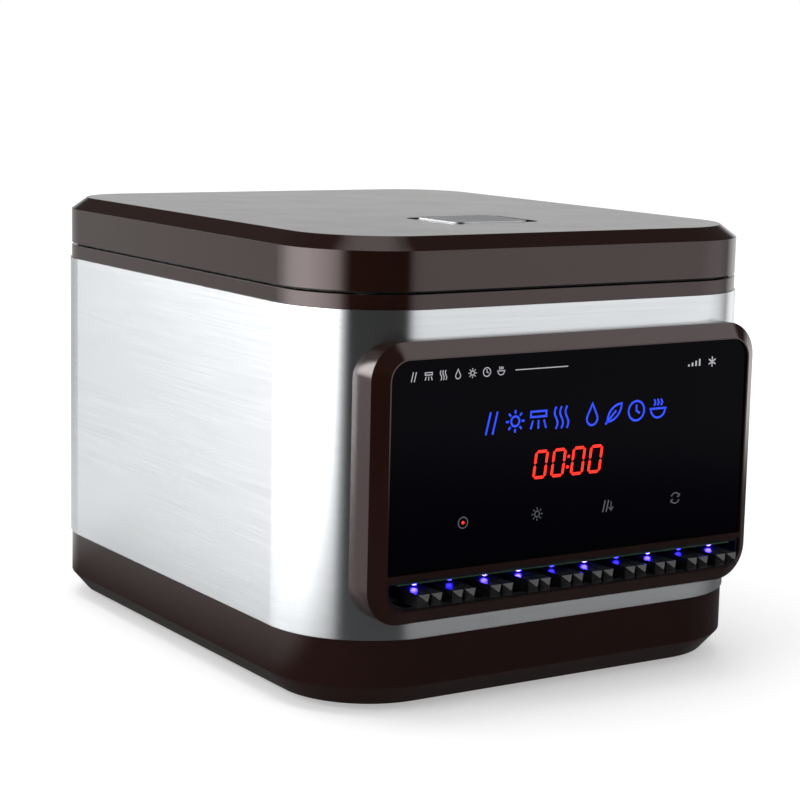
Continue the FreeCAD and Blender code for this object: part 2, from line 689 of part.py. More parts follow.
def lid_shell():
    body = new_body("lid_shell")
    bevelled_block(body, "lid_low", "lid_top", "lid_shoulder", "lid_bevel_inset", True)
    hollow(
        body, "lid_shoulder", "lid_wall", "lid_low",
        ("lid_top - lid_wall", "lid_bevel_inset - lid_wall / 2"))
    cup = new_sketch(body, "XY_Plane", "lid_top - lid_wall / 2")
    rounded(
        cup, "-cup_half - cup_wall", "cup_half + cup_wall",
        "-cup_front - cup_wall", "cup_wall - cup_rear", "grip_corner + cup_wall")
    pad(body, cup, "cup_drop + cup_wall - lid_wall / 2", reverse=True)
    recess = new_sketch(body, "XY_Plane", "lid_top")
    rounded(recess, "-cup_half", "cup_half", "-cup_front", "-cup_rear", "grip_corner")
    pocket(body, recess, "cup_drop")
    leaf = knuckle(
        body, "hinge_spread - knuckle_length / 2 - knuckle_gap - leaf_length", "leaf_length",
        "lid_low", "lid_low + leaf_height")
    mirror(body, leaf)
    bore_hinge(body)
    pin = new_sketch(body, "YZ_Plane")
    circle(pin, "grip_line", "grip_axis", "grip_pin_radius + run_gap")
    pocket(body, pin, "2 * (cup_half + pin_seat + fit_gap)", both=True)
    return keep(body)


def hinge_pins():
    length = "knuckle_length + knuckle_gap + leaf_length"
    outer_end = "hinge_spread + knuckle_length / 2"
    for side, start in (("left", f"-({outer_end})"), ("right", f"{outer_end} - ({length})")):
        pin = rod(f"hinge_pin_{side}", "x", start, "hinge_line", "hinge_level", "pin_radius", length)
        keep(pin)


def lid_grip():
    body = new_body("lid_grip")
    plate = new_sketch(body, "XY_Plane", "grip_low")
    rounded(
        plate, "-grip_width / 2", "grip_width / 2",
        "-grip_centre - grip_depth / 2", "grip_depth / 2 - grip_centre", "grip_corner")
    pad(body, plate, "grip_gauge")
    barrel = new_sketch(body, "YZ_Plane")
    circle(barrel, "grip_line", "grip_axis", "barrel_radius")
    pad(body, barrel, "grip_width - 2 * grip_corner", both=True)
    bore = new_sketch(body, "YZ_Plane")
    circle(bore, "grip_line", "grip_axis", "grip_pin_radius + run_gap")
    pocket(body, bore, "body_width", both=True)
    keep(body)
    pin = rod(
        "grip_pin", "x", "-cup_half - pin_seat", "grip_line", "grip_axis",
        "grip_pin_radius", "2 * (cup_half + pin_seat)")
    keep(pin)


def lid_liner():
    body = new_body("lid_liner")
    plate = new_sketch(body, "XY_Plane", "liner_low")
    outline(plate, "lid_wall + fit_gap")
    rectangle(
        plate, "-lamp_length / 2 - lamp_cap_length", "lamp_length / 2 + lamp_cap_length",
        "lamp_back - lamp_window / 2", "lamp_back + lamp_window / 2")
    pad(body, plate, "liner_gauge")
    keep(body)
    seal = new_body("lid_seal")
    band(
        seal, "rim_top + seal_squeeze", "liner_low - rim_top - seal_squeeze",
        "lid_wall + seal_margin", "lid_wall + seal_margin + seal_width")
    keep(seal)


def uv_lamp():
    reflector = new_body("lamp_reflector")
    section = new_sketch(reflector, "YZ_Plane", "-lamp_length / 2 - lamp_cap_length - reflector_end")
    half = "lamp_window / 2"
    polygon(section, [
        (f"lamp_back - {half} - reflector_flange", "liner_top"),
        (f"lamp_back - {half}", "liner_top"),
        (f"lamp_back - {half} / 2", "liner_top + reflector_rise - reflector_gauge"),
        (f"lamp_back + {half} / 2", "liner_top + reflector_rise - reflector_gauge"),
        (f"lamp_back + {half}", "liner_top"),
        (f"lamp_back + {half} + reflector_flange", "liner_top"),
        (f"lamp_back + {half} + reflector_flange", "liner_top + reflector_gauge"),
        (f"lamp_back + {half} + reflector_gauge", "liner_top + reflector_gauge"),
        (f"lamp_back + {half} / 2 + reflector_gauge", "liner_top + reflector_rise"),
        (f"lamp_back - {half} / 2 - reflector_gauge", "liner_top + reflector_rise"),
        (f"lamp_back - {half} - reflector_gauge", "liner_top + reflector_gauge"),
        (f"lamp_back - {half} - reflector_flange", "liner_top + reflector_gauge"),
    ])
    pad(reflector, section, "lamp_length + 2 * (lamp_cap_length + reflector_end)")
    keep(reflector)
    tube = rod("uv_tube", "x", "-lamp_length / 2", "lamp_back", "lamp_level", "lamp_radius", "lamp_length")
    keep(tube)
    sockets = []
    for side, start in (("left", "-lamp_length / 2 - lamp_cap_length"), ("right", "lamp_length / 2")):
        sockets.append(box(
            f"lamp_socket_{side}", start, f"{start} + lamp_cap_length",
            "lamp_back - lamp_radius", "lamp_back + lamp_radius",
            "lamp_level - lamp_radius", "liner_top + reflector_rise - reflector_gauge - 0.1"))
    keep(group("lamp_sockets", *sockets))


# ---- control panel and outlet -------------------------------------------------------------------

def bezel_outline(sketch, inset, low="bezel_low", high="bezel_top", radius=None):
    rounded(
        sketch, f"{inset} - bezel_width / 2", f"bezel_width / 2 - ({inset})",
        f"{low} + {inset}", f"{high} - ({inset})", radius or f"bezel_corner - ({inset})")


def front_bezel():
    body = new_body("front_bezel")
    edge = new_sketch(body, "XZ_Plane", "bezel_face - bevel_depth")
    bezel_outline(edge, "0")
    pad(body, edge, "bezel_reach - bevel_depth + front_corner / 2", reverse=True)
    wide = new_sketch(body, "XZ_Plane", "bezel_face - bevel_depth")
    bezel_outline(wide, "0")
    narrow = new_sketch(body, "XZ_Plane", "bezel_face")
    bezel_outline(narrow, "bevel_width - 0.8")
    loft(body, "AdditiveLoft", wide, narrow)
    glass = new_sketch(body, "XZ_Plane", "bezel_face")
    rounded(glass, "-inner_half", "inner_half", "glass_low", "glass_high", "1", "inner_corner")
    pocket(body, glass, "glass_recess + glass_gauge")
    window = new_sketch(body, "XZ_Plane", "bezel_face")
    rectangle(
        window, "bezel_ledge - inner_half", "inner_half - bezel_ledge",
        "glass_low + bezel_ledge / 2", "glass_high - bezel_ledge / 2")
    pocket(body, window, "bezel_reach + front_corner")
    outlet = new_sketch(body, "XZ_Plane", "bezel_face")
    rounded(outlet, "-inner_half", "inner_half", "outlet_low", "outlet_top", "inner_corner", "1")
    pocket(body, outlet, "bezel_reach + front_corner")
    casing = new_sketch(body, "XY_Plane", "bezel_low - 1")
    outline(casing, "-wrap_proud - run_gap")
    pocket(body, casing, "bezel_height + 2", reverse=True)
    return keep(body)


def glass_panel():
    body = new_body("glass_panel")
    sheet_outline = new_sketch(body, "XZ_Plane", "bezel_face - glass_recess")
    rounded(
        sheet_outline, "fit_gap - inner_half", "inner_half - fit_gap",
        "glass_low + fit_gap", "glass_high - fit_gap", "0.9", "inner_corner - fit_gap")
    pad(body, sheet_outline, "glass_gauge", reverse=True)
    return keep(body)


def display():
    """Board behind the bezel's ledge, with the clock and message modules that show through the glass."""
    back = "-ledge_back"
    board = box(
        "display_board", "-board_width / 2", "board_width / 2", back, f"{back} + board_gauge",
        "glass_low + 1", "glass_high - 1")
    keep(board)
    for label, width, height, level in (
            ("clock_module", "clock_width", "clock_height", "clock_level"),
            ("message_module", "message_width", "message_height", "message_level")):
        keep(box(
            label, f"-{width} / 2", f"{width} / 2", f"{back} - module_depth", back,
            f"foot_height + {level} - {height} / 2", f"foot_height + {level} + {height} / 2"))


def outlet_trough():
    body = new_body("outlet_trough")
    mouth = new_sketch(body, "XZ_Plane", "bezel_face - trough_setback")
    gap = "fit_gap"
    rounded(
        mouth, f"{gap} - inner_half", f"inner_half - {gap}", f"outlet_low + {gap}",
        f"outlet_top - {gap}", f"inner_corner - {gap}", "0.9")
    rounded(
        mouth, f"{gap} + trough_wall - inner_half", f"inner_half - {gap} - trough_wall",
        f"outlet_low + {gap} + trough_wall", "trough_roof", f"inner_corner - {gap} - trough_wall", "0.5")
    pad(body, mouth, "trough_length", reverse=True)
    keep(body)
    middle = "led_setback - bezel_face"
    strip = box(
        "led_strip", "led_strip_end - inner_half", "inner_half - led_strip_end", f"{middle} - led_strip_width / 2",
        f"{middle} + led_strip_width / 2", "trough_roof - led_strip_gauge", "trough_roof")
    keep(strip)
    lamps = []
    for lane in range(count("lane_count")):
        across = lane_centre(lane)
        lamps.append(box(
            f"outlet_lamp_{lane + 1}", f"{across} - led_side / 2", f"{across} + led_side / 2",
            f"{middle} - led_side / 2", f"{middle} + led_side / 2",
            "trough_roof - led_strip_gauge - led_height", "trough_roof - led_strip_gauge"))
    keep(group("outlet_lamps", *lamps))


def lane_centre(lane):
    return f"({lane} - (lane_count - 1) / 2) * lane_pitch"


def lane_plate():
    body = new_body("lane_plate")
    slab = new_sketch(body, "XZ_Plane", "-lane_rear")
    right = [
        ("lane_half - lane_chamfer", "lane_bottom"), ("lane_half", "lane_level - lane_floor / 4"),
        ("lane_half", "rib_top"),
    ]
    left = [(f"-({x})", z) for x, z in reversed(right)]
    polygon(slab, right + left)
    pad(body, slab, "lane_front + lane_rear")
    lane = new_sketch(body, "XY_Plane", "rib_top")
    left = "lane_rib - lane_half"
    rectangle(lane, left, f"{left} + lane_pitch - lane_rib", "-lane_front - 1", "lane_rear + 1")
    first = pocket(body, lane, "lane_depth")
    row_of(body, first, "X_Axis", "lane_count", "lane_pitch")
    return keep(body)


# How far each pair lies off the middle of its lane, as a share of pair_drift.
LANE_DRIFT = (-0.3, -1.0, -0.1, 1.1, 0.9, 0.0, 0.4, -0.3, 0.1, -0.7)


def tapered(label, x, y_low, length, wide, narrow, wide_first):
    """A square bar along Y whose side changes from one end to the other, about a centre line."""
    start, end = (wide, narrow) if wide_first else (narrow, wide)
    bar = doc.addObject("Part::Wedge", label)
    bind(bar, Ymin="0", Ymax=length)
    bind(bar, Xmin=f"-({start}) / 2", Xmax=f"({start}) / 2", Zmin=f"-({start}) / 2", Zmax=f"({start}) / 2")
    bind(bar, X2min=f"-({end}) / 2", X2max=f"({end}) / 2", Z2min=f"-({end}) / 2", Z2max=f"({end}) / 2")
    bind(bar, Placement__Base__x=x, Placement__Base__y=y_low)
    bind(bar, Placement__Base__z="stick_low + stick_square / 2")
    return bar


def chopstick(label, x):
    """Square shank with a blunt pyramid on the outer end and a taper towards the thin end."""
    start = "-stick_end"
    point_end = tapered(
        label + "_point", x, start, "stick_point", "stick_square", "stick_flat", False)
    shank = box(
        label + "_shank", f"{x} - stick_square / 2", f"{x} + stick_square / 2",
        f"{start} + stick_point", f"{start} + stick_point + stick_shank", "stick_low", "stick_top")
    taper = tapered(
        label + "_taper", x, f"{start} + stick_point + stick_shank",
        "stick_length - stick_point - stick_shank", "stick_square", "stick_tip", True)
    return fuse(label, point_end, shank, taper)


def chopsticks():
    for lane in range(count("lane_count")):
        drift = LANE_DRIFT[lane % len(LANE_DRIFT)]
        middle = f"{lane_centre(lane)} + {drift} * pair_drift"
        half = "(stick_square + stick_split) / 2"
        left = chopstick(f"stick_{lane + 1}_left", f"{middle} - {half}")
        right = chopstick(f"stick_{lane + 1}_right", f"{middle} + {half}")
        keep(group(f"chopstick_pair_{lane + 1}", left, right))


# ---- feed mechanism --------------------------------------------------------------------------------

def hopper():
    """Open funnel of folded sheet with a flange at the top, a gate for the pusher and air slots."""
    body = new_body("hopper")
    for kind, outside in (("AdditiveLoft", "hopper_gauge"), ("SubtractiveLoft", "0")):
        low = new_sketch(body, "XY_Plane", "hopper_low")
        rectangle(
            low, f"-hopper_half - {outside}", f"hopper_half + {outside}",
            f"-hopper_front - {outside}", f"hopper_rear + {outside}")
        high = new_sketch(body, "XY_Plane", "rim_top")
        hopper_edge(high, outside)
        loft(body, kind, low, high)
    flange = new_sketch(body, "XY_Plane", "rim_top")
    hopper_edge(flange, "hopper_flange")
    hopper_edge(flange, "0")
    pad(body, flange, "hopper_gauge", reverse=True)
    through = "hopper_flare + 3 * gate_margin"
    gate = new_sketch(body, "XZ_Plane", "gate_margin - hopper_rear")
    rectangle(
        gate, "gate_margin - hopper_half", "hopper_half - gate_margin",
        "hopper_low - gate_gap", "pitch_line + gear_module + gate_gap")
    pocket(body, gate, through)
    slot = new_sketch(body, "XZ_Plane", "gate_margin - hopper_rear")
    left = "-fan_side_offset - (air_slot_count - 1) * grille_pitch / 2"
    rectangle(
        slot, f"{left} - air_slot_width / 2", f"{left} + air_slot_width / 2",
        "fan_level - fan_bore + slot_margin", "fan_level + fan_bore - slot_margin")
    first = pocket(body, slot, through)
    row_of(body, first, "X_Axis", "air_slot_count", "grille_pitch")
    return keep(body)


def feed_frame():
    """Folded sheet frame: a web under the lanes between two side plates that stand on the base."""
    body = new_body("feed_frame")
    section = new_sketch(body, "XZ_Plane", "-frame_rear")
    side = "frame_half"
    gauge = "frame_gauge"
    right = [
        (side, "web_top"), (side, "web_top + frame_rise"), (f"{side} + {gauge}", "web_top + frame_rise"),
        (f"{side} + {gauge}", f"floor_top + {gauge}"), (f"{side} + frame_foot", f"floor_top + {gauge}"),
        (f"{side} + frame_foot", "floor_top"), (side, "floor_top"), (side, f"web_top - {gauge}"),
    ]
    left = [(f"-({x})", z) for x, z in reversed(right)]
    polygon(section, right + left)
    pad(body, section, "frame_front + frame_rear")
    arch = new_sketch(body, "YZ_Plane")
    rounded(
        arch, "leg_width - frame_front", "frame_rear - leg_width",
        "floor_top - 1 - arch_radius", "web_top - frame_gauge - 6", "arch_radius")
    pocket(body, arch, "body_width", both=True)
    return keep(body)


def pusher_comb():
    """Crossbar that passes through the hopper's gate, with low ends that pass under its edge."""
    body = new_body("pusher_comb")
    for half, rise in (
            ("(lane_half - lane_rib)", "hopper_low - comb_low - comb_gap"),
            ("(hopper_half - gate_margin - gate_gap)", "comb_height")):
        bar = new_sketch(body, "XY_Plane", "comb_low")
        rectangle(bar, f"-{half}", half, "comb_front", "comb_rear")
        pad(body, bar, rise)
    finger = new_sketch(body, "XY_Plane", "comb_low")
    first = lane_centre(0)
    rectangle(
        finger, f"{first} - finger_width / 2", f"{first} + finger_width / 2", "comb_front", "comb_rear")
    tooth = pad(body, finger, "comb_low - lane_level - comb_gap", reverse=True)
    row_of(body, tooth, "X_Axis", "lane_count", "lane_pitch")
    return keep(body)


def drive_rack():
    """Rack with straight 20 degree flanks, screwed to the back of the comb."""
    body = new_body("drive_rack")
    blank = new_sketch(body, "YZ_Plane")
    top = "pitch_line + gear_module"
    pitch = "(gear_module * 3.141592654)"
    end = f"comb_rear + (rack_teeth - 0.5) * {pitch}"
    rectangle(blank, "comb_rear", end, "rack_low", top)
    pad(body, blank, "gear_width", both=True)
    gap = new_sketch(body, "YZ_Plane")
    middle = "comb_rear"
    half = f"({pitch} / 4 + gear_play / 2)"
    lean = "0.363970234"
    root = f"({half} - 1.25 * gear_module * {lean})"
    mouth = f"({half} + (gear_module + 0.5) * {lean})"
    polygon(gap, [
        (f"{middle} - {root}", "pitch_line - 1.25 * gear_module"),
        (f"{middle} + {root}", "pitch_line - 1.25 * gear_module"),
        (f"{middle} + {mouth}", f"{top} + 0.5"),
        (f"{middle} - {mouth}", f"{top} + 0.5"),
    ])
    first = pocket(body, gap, "gear_width + 2", both=True)
    row_of(body, first, "Y_Axis", "rack_teeth", pitch)
    return keep(body)


def involute_outline(module, teeth, play, phase):
    """Closed wire of a 20 degree involute gear in the YZ plane, about the origin."""
    pressure = math.radians(20)
    pitch_radius = module * teeth / 2
    base = pitch_radius * math.cos(pressure)
    outer = pitch_radius + module
    root = pitch_radius - 1.25 * module
    half_tooth = (math.pi * module / 4 - play / 2) / pitch_radius + math.tan(pressure) - pressure

    def flank(radius):
        if radius <= base:
            return half_tooth
        roll = math.acos(base / radius)
        return half_tooth - (math.tan(roll) - roll)

    radii = [root, base, pitch_radius, outer]
    spots = []
    for tooth in range(teeth):
        middle = phase + tooth * 2 * math.pi / teeth
        spots += [(r, middle - flank(r)) for r in radii]
        spots += [(r, middle + flank(r)) for r in reversed(radii)]
    corners = [FreeCAD.Vector(0, r * math.sin(a), r * math.cos(a)) for r, a in spots]
    return Part.makePolygon(corners + corners[:1])


def drive_pinion():
    """Pinion above the rack, with a tooth gap over the rack's nearest tooth, on its stub shaft."""
    module = value("gear_module")
    teeth = count("pinion_teeth")
    pitch = math.pi * module
    from_gap = (value("pinion_line") - value("comb_rear")) / pitch
    # The rack's gaps lie whole pitches behind the comb, and the pinion's lowest tooth points at one.
    offset = (from_gap - round(from_gap)) * pitch
    phase = math.pi + offset / (module * teeth / 2)
    wire = involute_outline(module, teeth, value("gear_play"), phase)
    width = value("gear_width")
    gear = Part.Face(wire).extrude(FreeCAD.Vector(width, 0, 0))
    gear.translate(FreeCAD.Vector(-width / 2, 0, 0))
    start = FreeCAD.Vector(-width / 2 - value("shaft_stub"), 0, 0)
    shaft = Part.makeCylinder(
        value("shaft_radius"), value("shaft_length"), start, FreeCAD.Vector(1, 0, 0))
    pinion = doc.addObject("Part::Feature", "drive_pinion")
    pinion.Shape = gear.fuse(shaft).removeSplitter()
    bind(pinion, Placement__Base__y="pinion_line", Placement__Base__z="pinion_level")
    return keep(pinion)


def gear_motor():
    """Motor with its gearbox beside the pinion, on a bracket that stands on the feed frame."""
    face = "gearbox_face + bracket_gauge"
    side = "gearbox_side / 2"
    gearbox = box(
        "gearbox_case", face, f"{face} + gearbox_length", f"pinion_line - {side}",
        f"pinion_line + {side}", f"pinion_level - {side}", f"pinion_level + {side}")
    can = rod(
        "motor_can", "x", f"{face} + gearbox_length", "pinion_line", "pinion_level",
        "motor_radius", "motor_length")
    seat = rod(
        "motor_seat", "x", f"{face} - 1", "pinion_line", "pinion_level",
        "shaft_radius + run_gap", "shaft_length / 2")
    keep(cut("gear_motor", fuse("motor_body", gearbox, can), seat))
    near, far = "comb_rear + gearbox_gap", f"pinion_line + {side} + bracket_edge"
    wall = box(
        "bracket_wall", "gearbox_face", face, near, far,
        "web_top", f"pinion_level + {side} + bracket_edge")
    foot = box(
        "bracket_foot", "gearbox_face", "gearbox_face + bracket_foot_width", near, far,
        "web_top", "web_top + bracket_gauge")
    hole = rod(
        "bracket_hole", "x", "gearbox_face - 1", "pinion_line", "pinion_level",
        "shaft_radius + shaft_room", "bracket_gauge + 2")
    keep(cut("motor_bracket", fuse("bracket_body", wall, foot), hole))
    guide = box(
        "guide_block", "-gear_width / 2 - guide_cheek", "gear_width / 2 + gearbox_gap / 2",
        "comb_rear + gearbox_gap", "comb_rear + gearbox_gap + guide_length",
        "web_top", "rack_low + rack_body / 2")
    groove = box(
        "guide_groove", "-gear_width / 2 - run_gap", "gear_width / 2 + gearbox_gap",
        "comb_rear", "comb_rear + 2 * guide_length", "rack_low - run_gap", "rack_low + rack_body")
    keep(cut("rack_guide", guide, groove))


# ---- drying fan, heater and power ----------------------------------------------------------------

def fan():
    frame = new_body("fan_frame")
    square = new_sketch(frame, "XZ_Plane", "-fan_front - fan_depth")
    side = "fan_side / 2"
    rounded(
        square, f"-fan_side_offset - {side}", f"{side} - fan_side_offset",
        f"fan_level - {side}", f"fan_level + {side}", "frame_corner")
    pad(frame, square, "fan_depth")
    bore = new_sketch(frame, "XZ_Plane", "-fan_front")
    circle(bore, "-fan_side_offset", "fan_level", "fan_bore")
    pocket(frame, bore, "fan_depth")
    hub = new_sketch(frame, "XZ_Plane", "-fan_front - fan_depth")
    circle(hub, "-fan_side_offset", "fan_level", "hub_radius")
    pad(frame, hub, "hub_gauge")
    reach = "fan_bore + 1"
    for half_x, half_z in ((reach, "spoke_half"), ("spoke_half", reach)):
        spoke = new_sketch(frame, "XZ_Plane", "-fan_front - fan_depth")
        rectangle(
            spoke, f"-fan_side_offset - ({half_x})", f"{half_x} - fan_side_offset",
            f"fan_level - ({half_z})", f"fan_level + {half_z}")
        pad(frame, spoke, "spoke_gauge")
    keep(frame)
    rotor = new_body("fan_rotor")
    hub_length = "fan_depth - 2 * hub_gauge"
    boss = new_sketch(rotor, "XZ_Plane")
    circle(boss, "0", "0", "hub_radius")
    pad(rotor, boss, hub_length)
    section = new_sketch(rotor, "YZ_Plane", "hub_radius - 2 * blade_gauge")
    front, back = f"blade_gauge - ({hub_length})", "-blade_gauge"
    polygon(section, [
        (front, "blade_half - blade_gauge"), (back, "-blade_half"),
        (back, "blade_gauge - blade_half"), (front, "blade_half"),
    ])
    blade = pad(rotor, section, "fan_bore - blade_gap - hub_radius + 2 * blade_gauge")
    ring_of(rotor, blade, "Y_Axis", "blade_count")
    bind(rotor, Placement__Base__x="-fan_side_offset", Placement__Base__z="fan_level")
    bind(rotor, Placement__Base__y="fan_front + fan_depth - hub_gauge - 4 * fit_gap")
    keep(rotor)


def heater():
    duct = new_body("heater_duct")
    side = "fan_side / 2"
    mouth = new_sketch(duct, "XZ_Plane", "-fan_front + fit_gap")
    for inset in ("0", "duct_gauge"):
        rectangle(
            mouth, f"-fan_side_offset - {side} + {inset}", f"{side} - fan_side_offset - {inset}",
            f"fan_level - {side} + {inset}", f"fan_level + {side} - {inset}")
    pad(duct, mouth, "fan_front - fit_gap - hopper_rear - hopper_flare - hopper_gauge - duct_gap")
    keep(duct)
    core = new_body("heater_core")
    back = "fan_front - heater_back"
    slab = new_sketch(core, "XY_Plane", f"fan_level - {side} + duct_gauge")
    left = f"frame_corner - fan_side_offset - {side}"
    right = f"{side} - fan_side_offset - frame_corner"
    rectangle(slab, left, right, f"{back} - heater_depth", back)
    pad(core, slab, "heater_base")
    post = new_sketch(core, "XY_Plane", f"fan_level - {side} + duct_gauge")
    rectangle(
        post, f"{left} + fin_margin", f"{left} + fin_margin + fin_gauge", f"{back} - heater_depth", back)
    fin = pad(core, post, "fan_side - 2 * duct_gauge - fit_gap")
    row_of(core, fin, "X_Axis", "fin_count", "fin_pitch")
    keep(core)


def power_board():
    wall = "rear_inside - fit_gap"
    face = f"{wall} - standoff_length"
    x, z = "supply_side", "supply_level"
    keep(box(
        "power_board", f"{x} - supply_width / 2", f"{x} + supply_width / 2",
        f"{face} - board_gauge", face, f"{z} - supply_height / 2", f"{z} + supply_height / 2"))
    posts = []
    reach_x = "supply_width / 2 - standoff_inset"
    reach_z = "supply_height / 2 - standoff_inset"
    for low_x in (f"{x} - ({reach_x})", f"{x} + {reach_x} - standoff_side"):
        for low_z in (f"{z} - ({reach_z})", f"{z} + {reach_z} - standoff_side"):
            posts.append(box(
                "board_post", low_x, f"{low_x} + standoff_side", face, wall,
                low_z, f"{low_z} + standoff_side"))
    keep(group("board_standoffs", *posts))
    front = f"{face} - board_gauge"
    coil_left = f"{x} - supply_width / 2 + coil_inset"
    keep(box(
        "transformer", coil_left, f"{coil_left} + coil_width", f"{front} - coil_depth", front,
        f"{z} - coil_height / 4", f"{z} + 3 * coil_height / 4"))


def mains_inlet():
    """Three-pin appliance inlet set in the rear of the wrap."""
    face = "half_depth + wrap_proud"
    x, z = "inlet_side", "inlet_level"
    half_x, half_z = "inlet_width / 2", "inlet_height / 2"
    flange = box(
        "inlet_flange_plate", f"{x} - {half_x} - inlet_flange", f"{x} + {half_x} + inlet_flange",
        face, f"{face} + inlet_plate", f"{z} - {half_z} - inlet_plate", f"{z} + {half_z} + inlet_plate")
    shroud = box(
        "inlet_shroud", f"{x} - {half_x}", f"{x} + {half_x}", f"{face} - inlet_depth",
        f"{face} + inlet_plate / 2", f"{z} - {half_z}", f"{z} + {half_z}")
    floor = f"{face} - inlet_depth + inlet_back"
    socket = box(
        "inlet_socket", f"{x} - {half_x} + inlet_wall", f"{x} + {half_x} - inlet_wall",
        floor, f"{face} + 2 * inlet_plate", f"{z} - {half_z} + inlet_wall", f"{z} + {half_z} - inlet_wall")
    keep(cut("mains_inlet", fuse("inlet_body", flange, shroud), socket))
    pins = []
    for place, rise in ((-1, -0.5), (0, 0.5), (1, -0.5)):
        left = f"{x} + {place} * blade_pin_pitch - blade_pin_gauge / 2"
        low = f"{z} + ({rise}) * blade_pin_height - blade_pin_height / 2"
        pins.append(box(
            "inlet_pin", left, f"{left} + blade_pin_gauge", floor, f"{floor} + blade_pin_length",
            low, f"{low} + blade_pin_height"))
    keep(group("inlet_pins", *pins))


for build in (
        base_tray, feet, steel_wrap, top_rim, lid_shell, hinge_pins, lid_grip, lid_liner, uv_lamp,
        front_bezel, glass_panel, display, outlet_trough, lane_plate, chopsticks,
        hopper, feed_frame, pusher_comb, drive_rack, drive_pinion, gear_motor,
        fan, heater, power_board, mains_inlet):
    build()

doc.recompute()

for thing in doc.Objects:
    if "Invalid" in thing.State or "Error" in thing.State:
        raise RuntimeError(f"{thing.Label} failed: {thing.State}")
for part in parts:
    if part.Shape.isNull() or not part.Shape.isValid() or not part.Shape.Solids:
        raise RuntimeError(f"{part.Label} has no valid solid")

os.makedirs("parts", exist_ok=True)
for part in parts:
    part.Shape.exportStep(os.path.join("parts", part.Label + ".step"))
    print(part.Label, len(part.Shape.Solids), round(part.Shape.Volume, 1))
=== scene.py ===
"""Looks of a counter-top chopstick steriliser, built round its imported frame."""
import json
import math

import bmesh
import bpy
from mathutils import Matrix, Vector

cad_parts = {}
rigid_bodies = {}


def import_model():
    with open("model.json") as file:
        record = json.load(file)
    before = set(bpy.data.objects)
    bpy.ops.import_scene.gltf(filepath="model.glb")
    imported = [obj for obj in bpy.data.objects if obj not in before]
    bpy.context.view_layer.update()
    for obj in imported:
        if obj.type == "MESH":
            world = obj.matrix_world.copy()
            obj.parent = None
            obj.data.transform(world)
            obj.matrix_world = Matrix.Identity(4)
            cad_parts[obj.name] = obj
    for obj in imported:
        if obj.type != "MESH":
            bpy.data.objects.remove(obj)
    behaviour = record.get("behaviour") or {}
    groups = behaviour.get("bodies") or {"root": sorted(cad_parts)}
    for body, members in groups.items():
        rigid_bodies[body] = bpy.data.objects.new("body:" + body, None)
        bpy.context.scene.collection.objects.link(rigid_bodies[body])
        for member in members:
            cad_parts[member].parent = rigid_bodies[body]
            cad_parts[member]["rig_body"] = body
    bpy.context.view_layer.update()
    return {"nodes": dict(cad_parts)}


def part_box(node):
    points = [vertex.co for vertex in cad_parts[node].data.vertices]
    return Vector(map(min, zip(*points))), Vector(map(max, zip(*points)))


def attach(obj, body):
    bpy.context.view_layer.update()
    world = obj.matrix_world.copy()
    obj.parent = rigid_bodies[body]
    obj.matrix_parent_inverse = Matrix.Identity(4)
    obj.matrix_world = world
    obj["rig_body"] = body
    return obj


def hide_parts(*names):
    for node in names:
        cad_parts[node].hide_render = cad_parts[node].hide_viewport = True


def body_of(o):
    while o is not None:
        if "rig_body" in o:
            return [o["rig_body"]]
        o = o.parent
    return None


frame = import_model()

MM = 0.001
collection = bpy.context.scene.collection


# ---- shared helpers ---------------------------------------------------------------------------

def linear(code):
    """Linear colour of an sRGB hex code."""
    shares = [int(code[place:place + 2], 16) / 255 for place in (1, 3, 5)]
    return tuple(s / 12.92 if s <= 0.04045 else ((s + 0.055) / 1.055) ** 2.4 for s in shares) + (1.0,)


def add(tree, kind, sockets=(), **settings):
    """Add a node with its settings; a socket takes a value or another node's output."""
    node = tree.nodes.new(kind)
    for name, value in settings.items():
        setattr(node, name, value)
    for socket, value in dict(sockets).items():
        if isinstance(value, bpy.types.NodeSocket):
            tree.links.new(value, node.inputs[socket])
        else:
            node.inputs[socket].default_value = value
    return node


def surface(name, colours, patch_mm, roughness, haze_mm, grain_mm, depth_mm, **plain):
    """A finish: colour mottle, uneven gloss and a fine relief, each drawn at a size in millimetres.

    A size is one number, or three along x, y and z where the working of the surface has a direction.
    """
    made = bpy.data.materials.new(name)
    made.use_nodes = True
    tree = made.node_tree
    shader = tree.nodes["Principled BSDF"]
    for socket, value in plain.items():
        shader.inputs[socket.replace("_", " ")].default_value = value
    place = add(tree, "ShaderNodeTexCoord").outputs["Object"]
    clouds = []
    for size_mm, detail in ((patch_mm, 3.0), (haze_mm, 3.0), (grain_mm, 1.5)):
        sides = size_mm if isinstance(size_mm, tuple) else (size_mm,) * 3
        scaled = add(tree, "ShaderNodeMapping", {
            "Vector": place, "Scale": tuple(1 / (side * MM) for side in sides)})
        noise = add(tree, "ShaderNodeTexNoise", {
            "Vector": scaled.outputs[0], "Scale": 1.0, "Detail": detail, "Roughness": 0.55})
        clouds.append(noise.outputs["Fac"])
    mottle, haze, grain = clouds
    low, high = colours
    colour = add(tree, "ShaderNodeMix", {
        0: mottle, 6: linear(low), 7: linear(high)}, data_type="RGBA").outputs[2]
    gloss = add(tree, "ShaderNodeMapRange", {
        "Value": haze, "From Min": 0.3, "From Max": 0.7,
        "To Min": roughness[0], "To Max": roughness[1]}).outputs["Result"]
    bump = add(tree, "ShaderNodeBump", {
        "Height": grain, "Distance": depth_mm * MM, "Strength": 0.4}).outputs["Normal"]
    for source, socket in ((colour, "Base Color"), (gloss, "Roughness"), (bump, "Normal")):
        tree.links.new(source, shader.inputs[socket])
    if shader.inputs["Emission Strength"].default_value > 0:
        tree.links.new(colour, shader.inputs["Emission Color"])
    return made


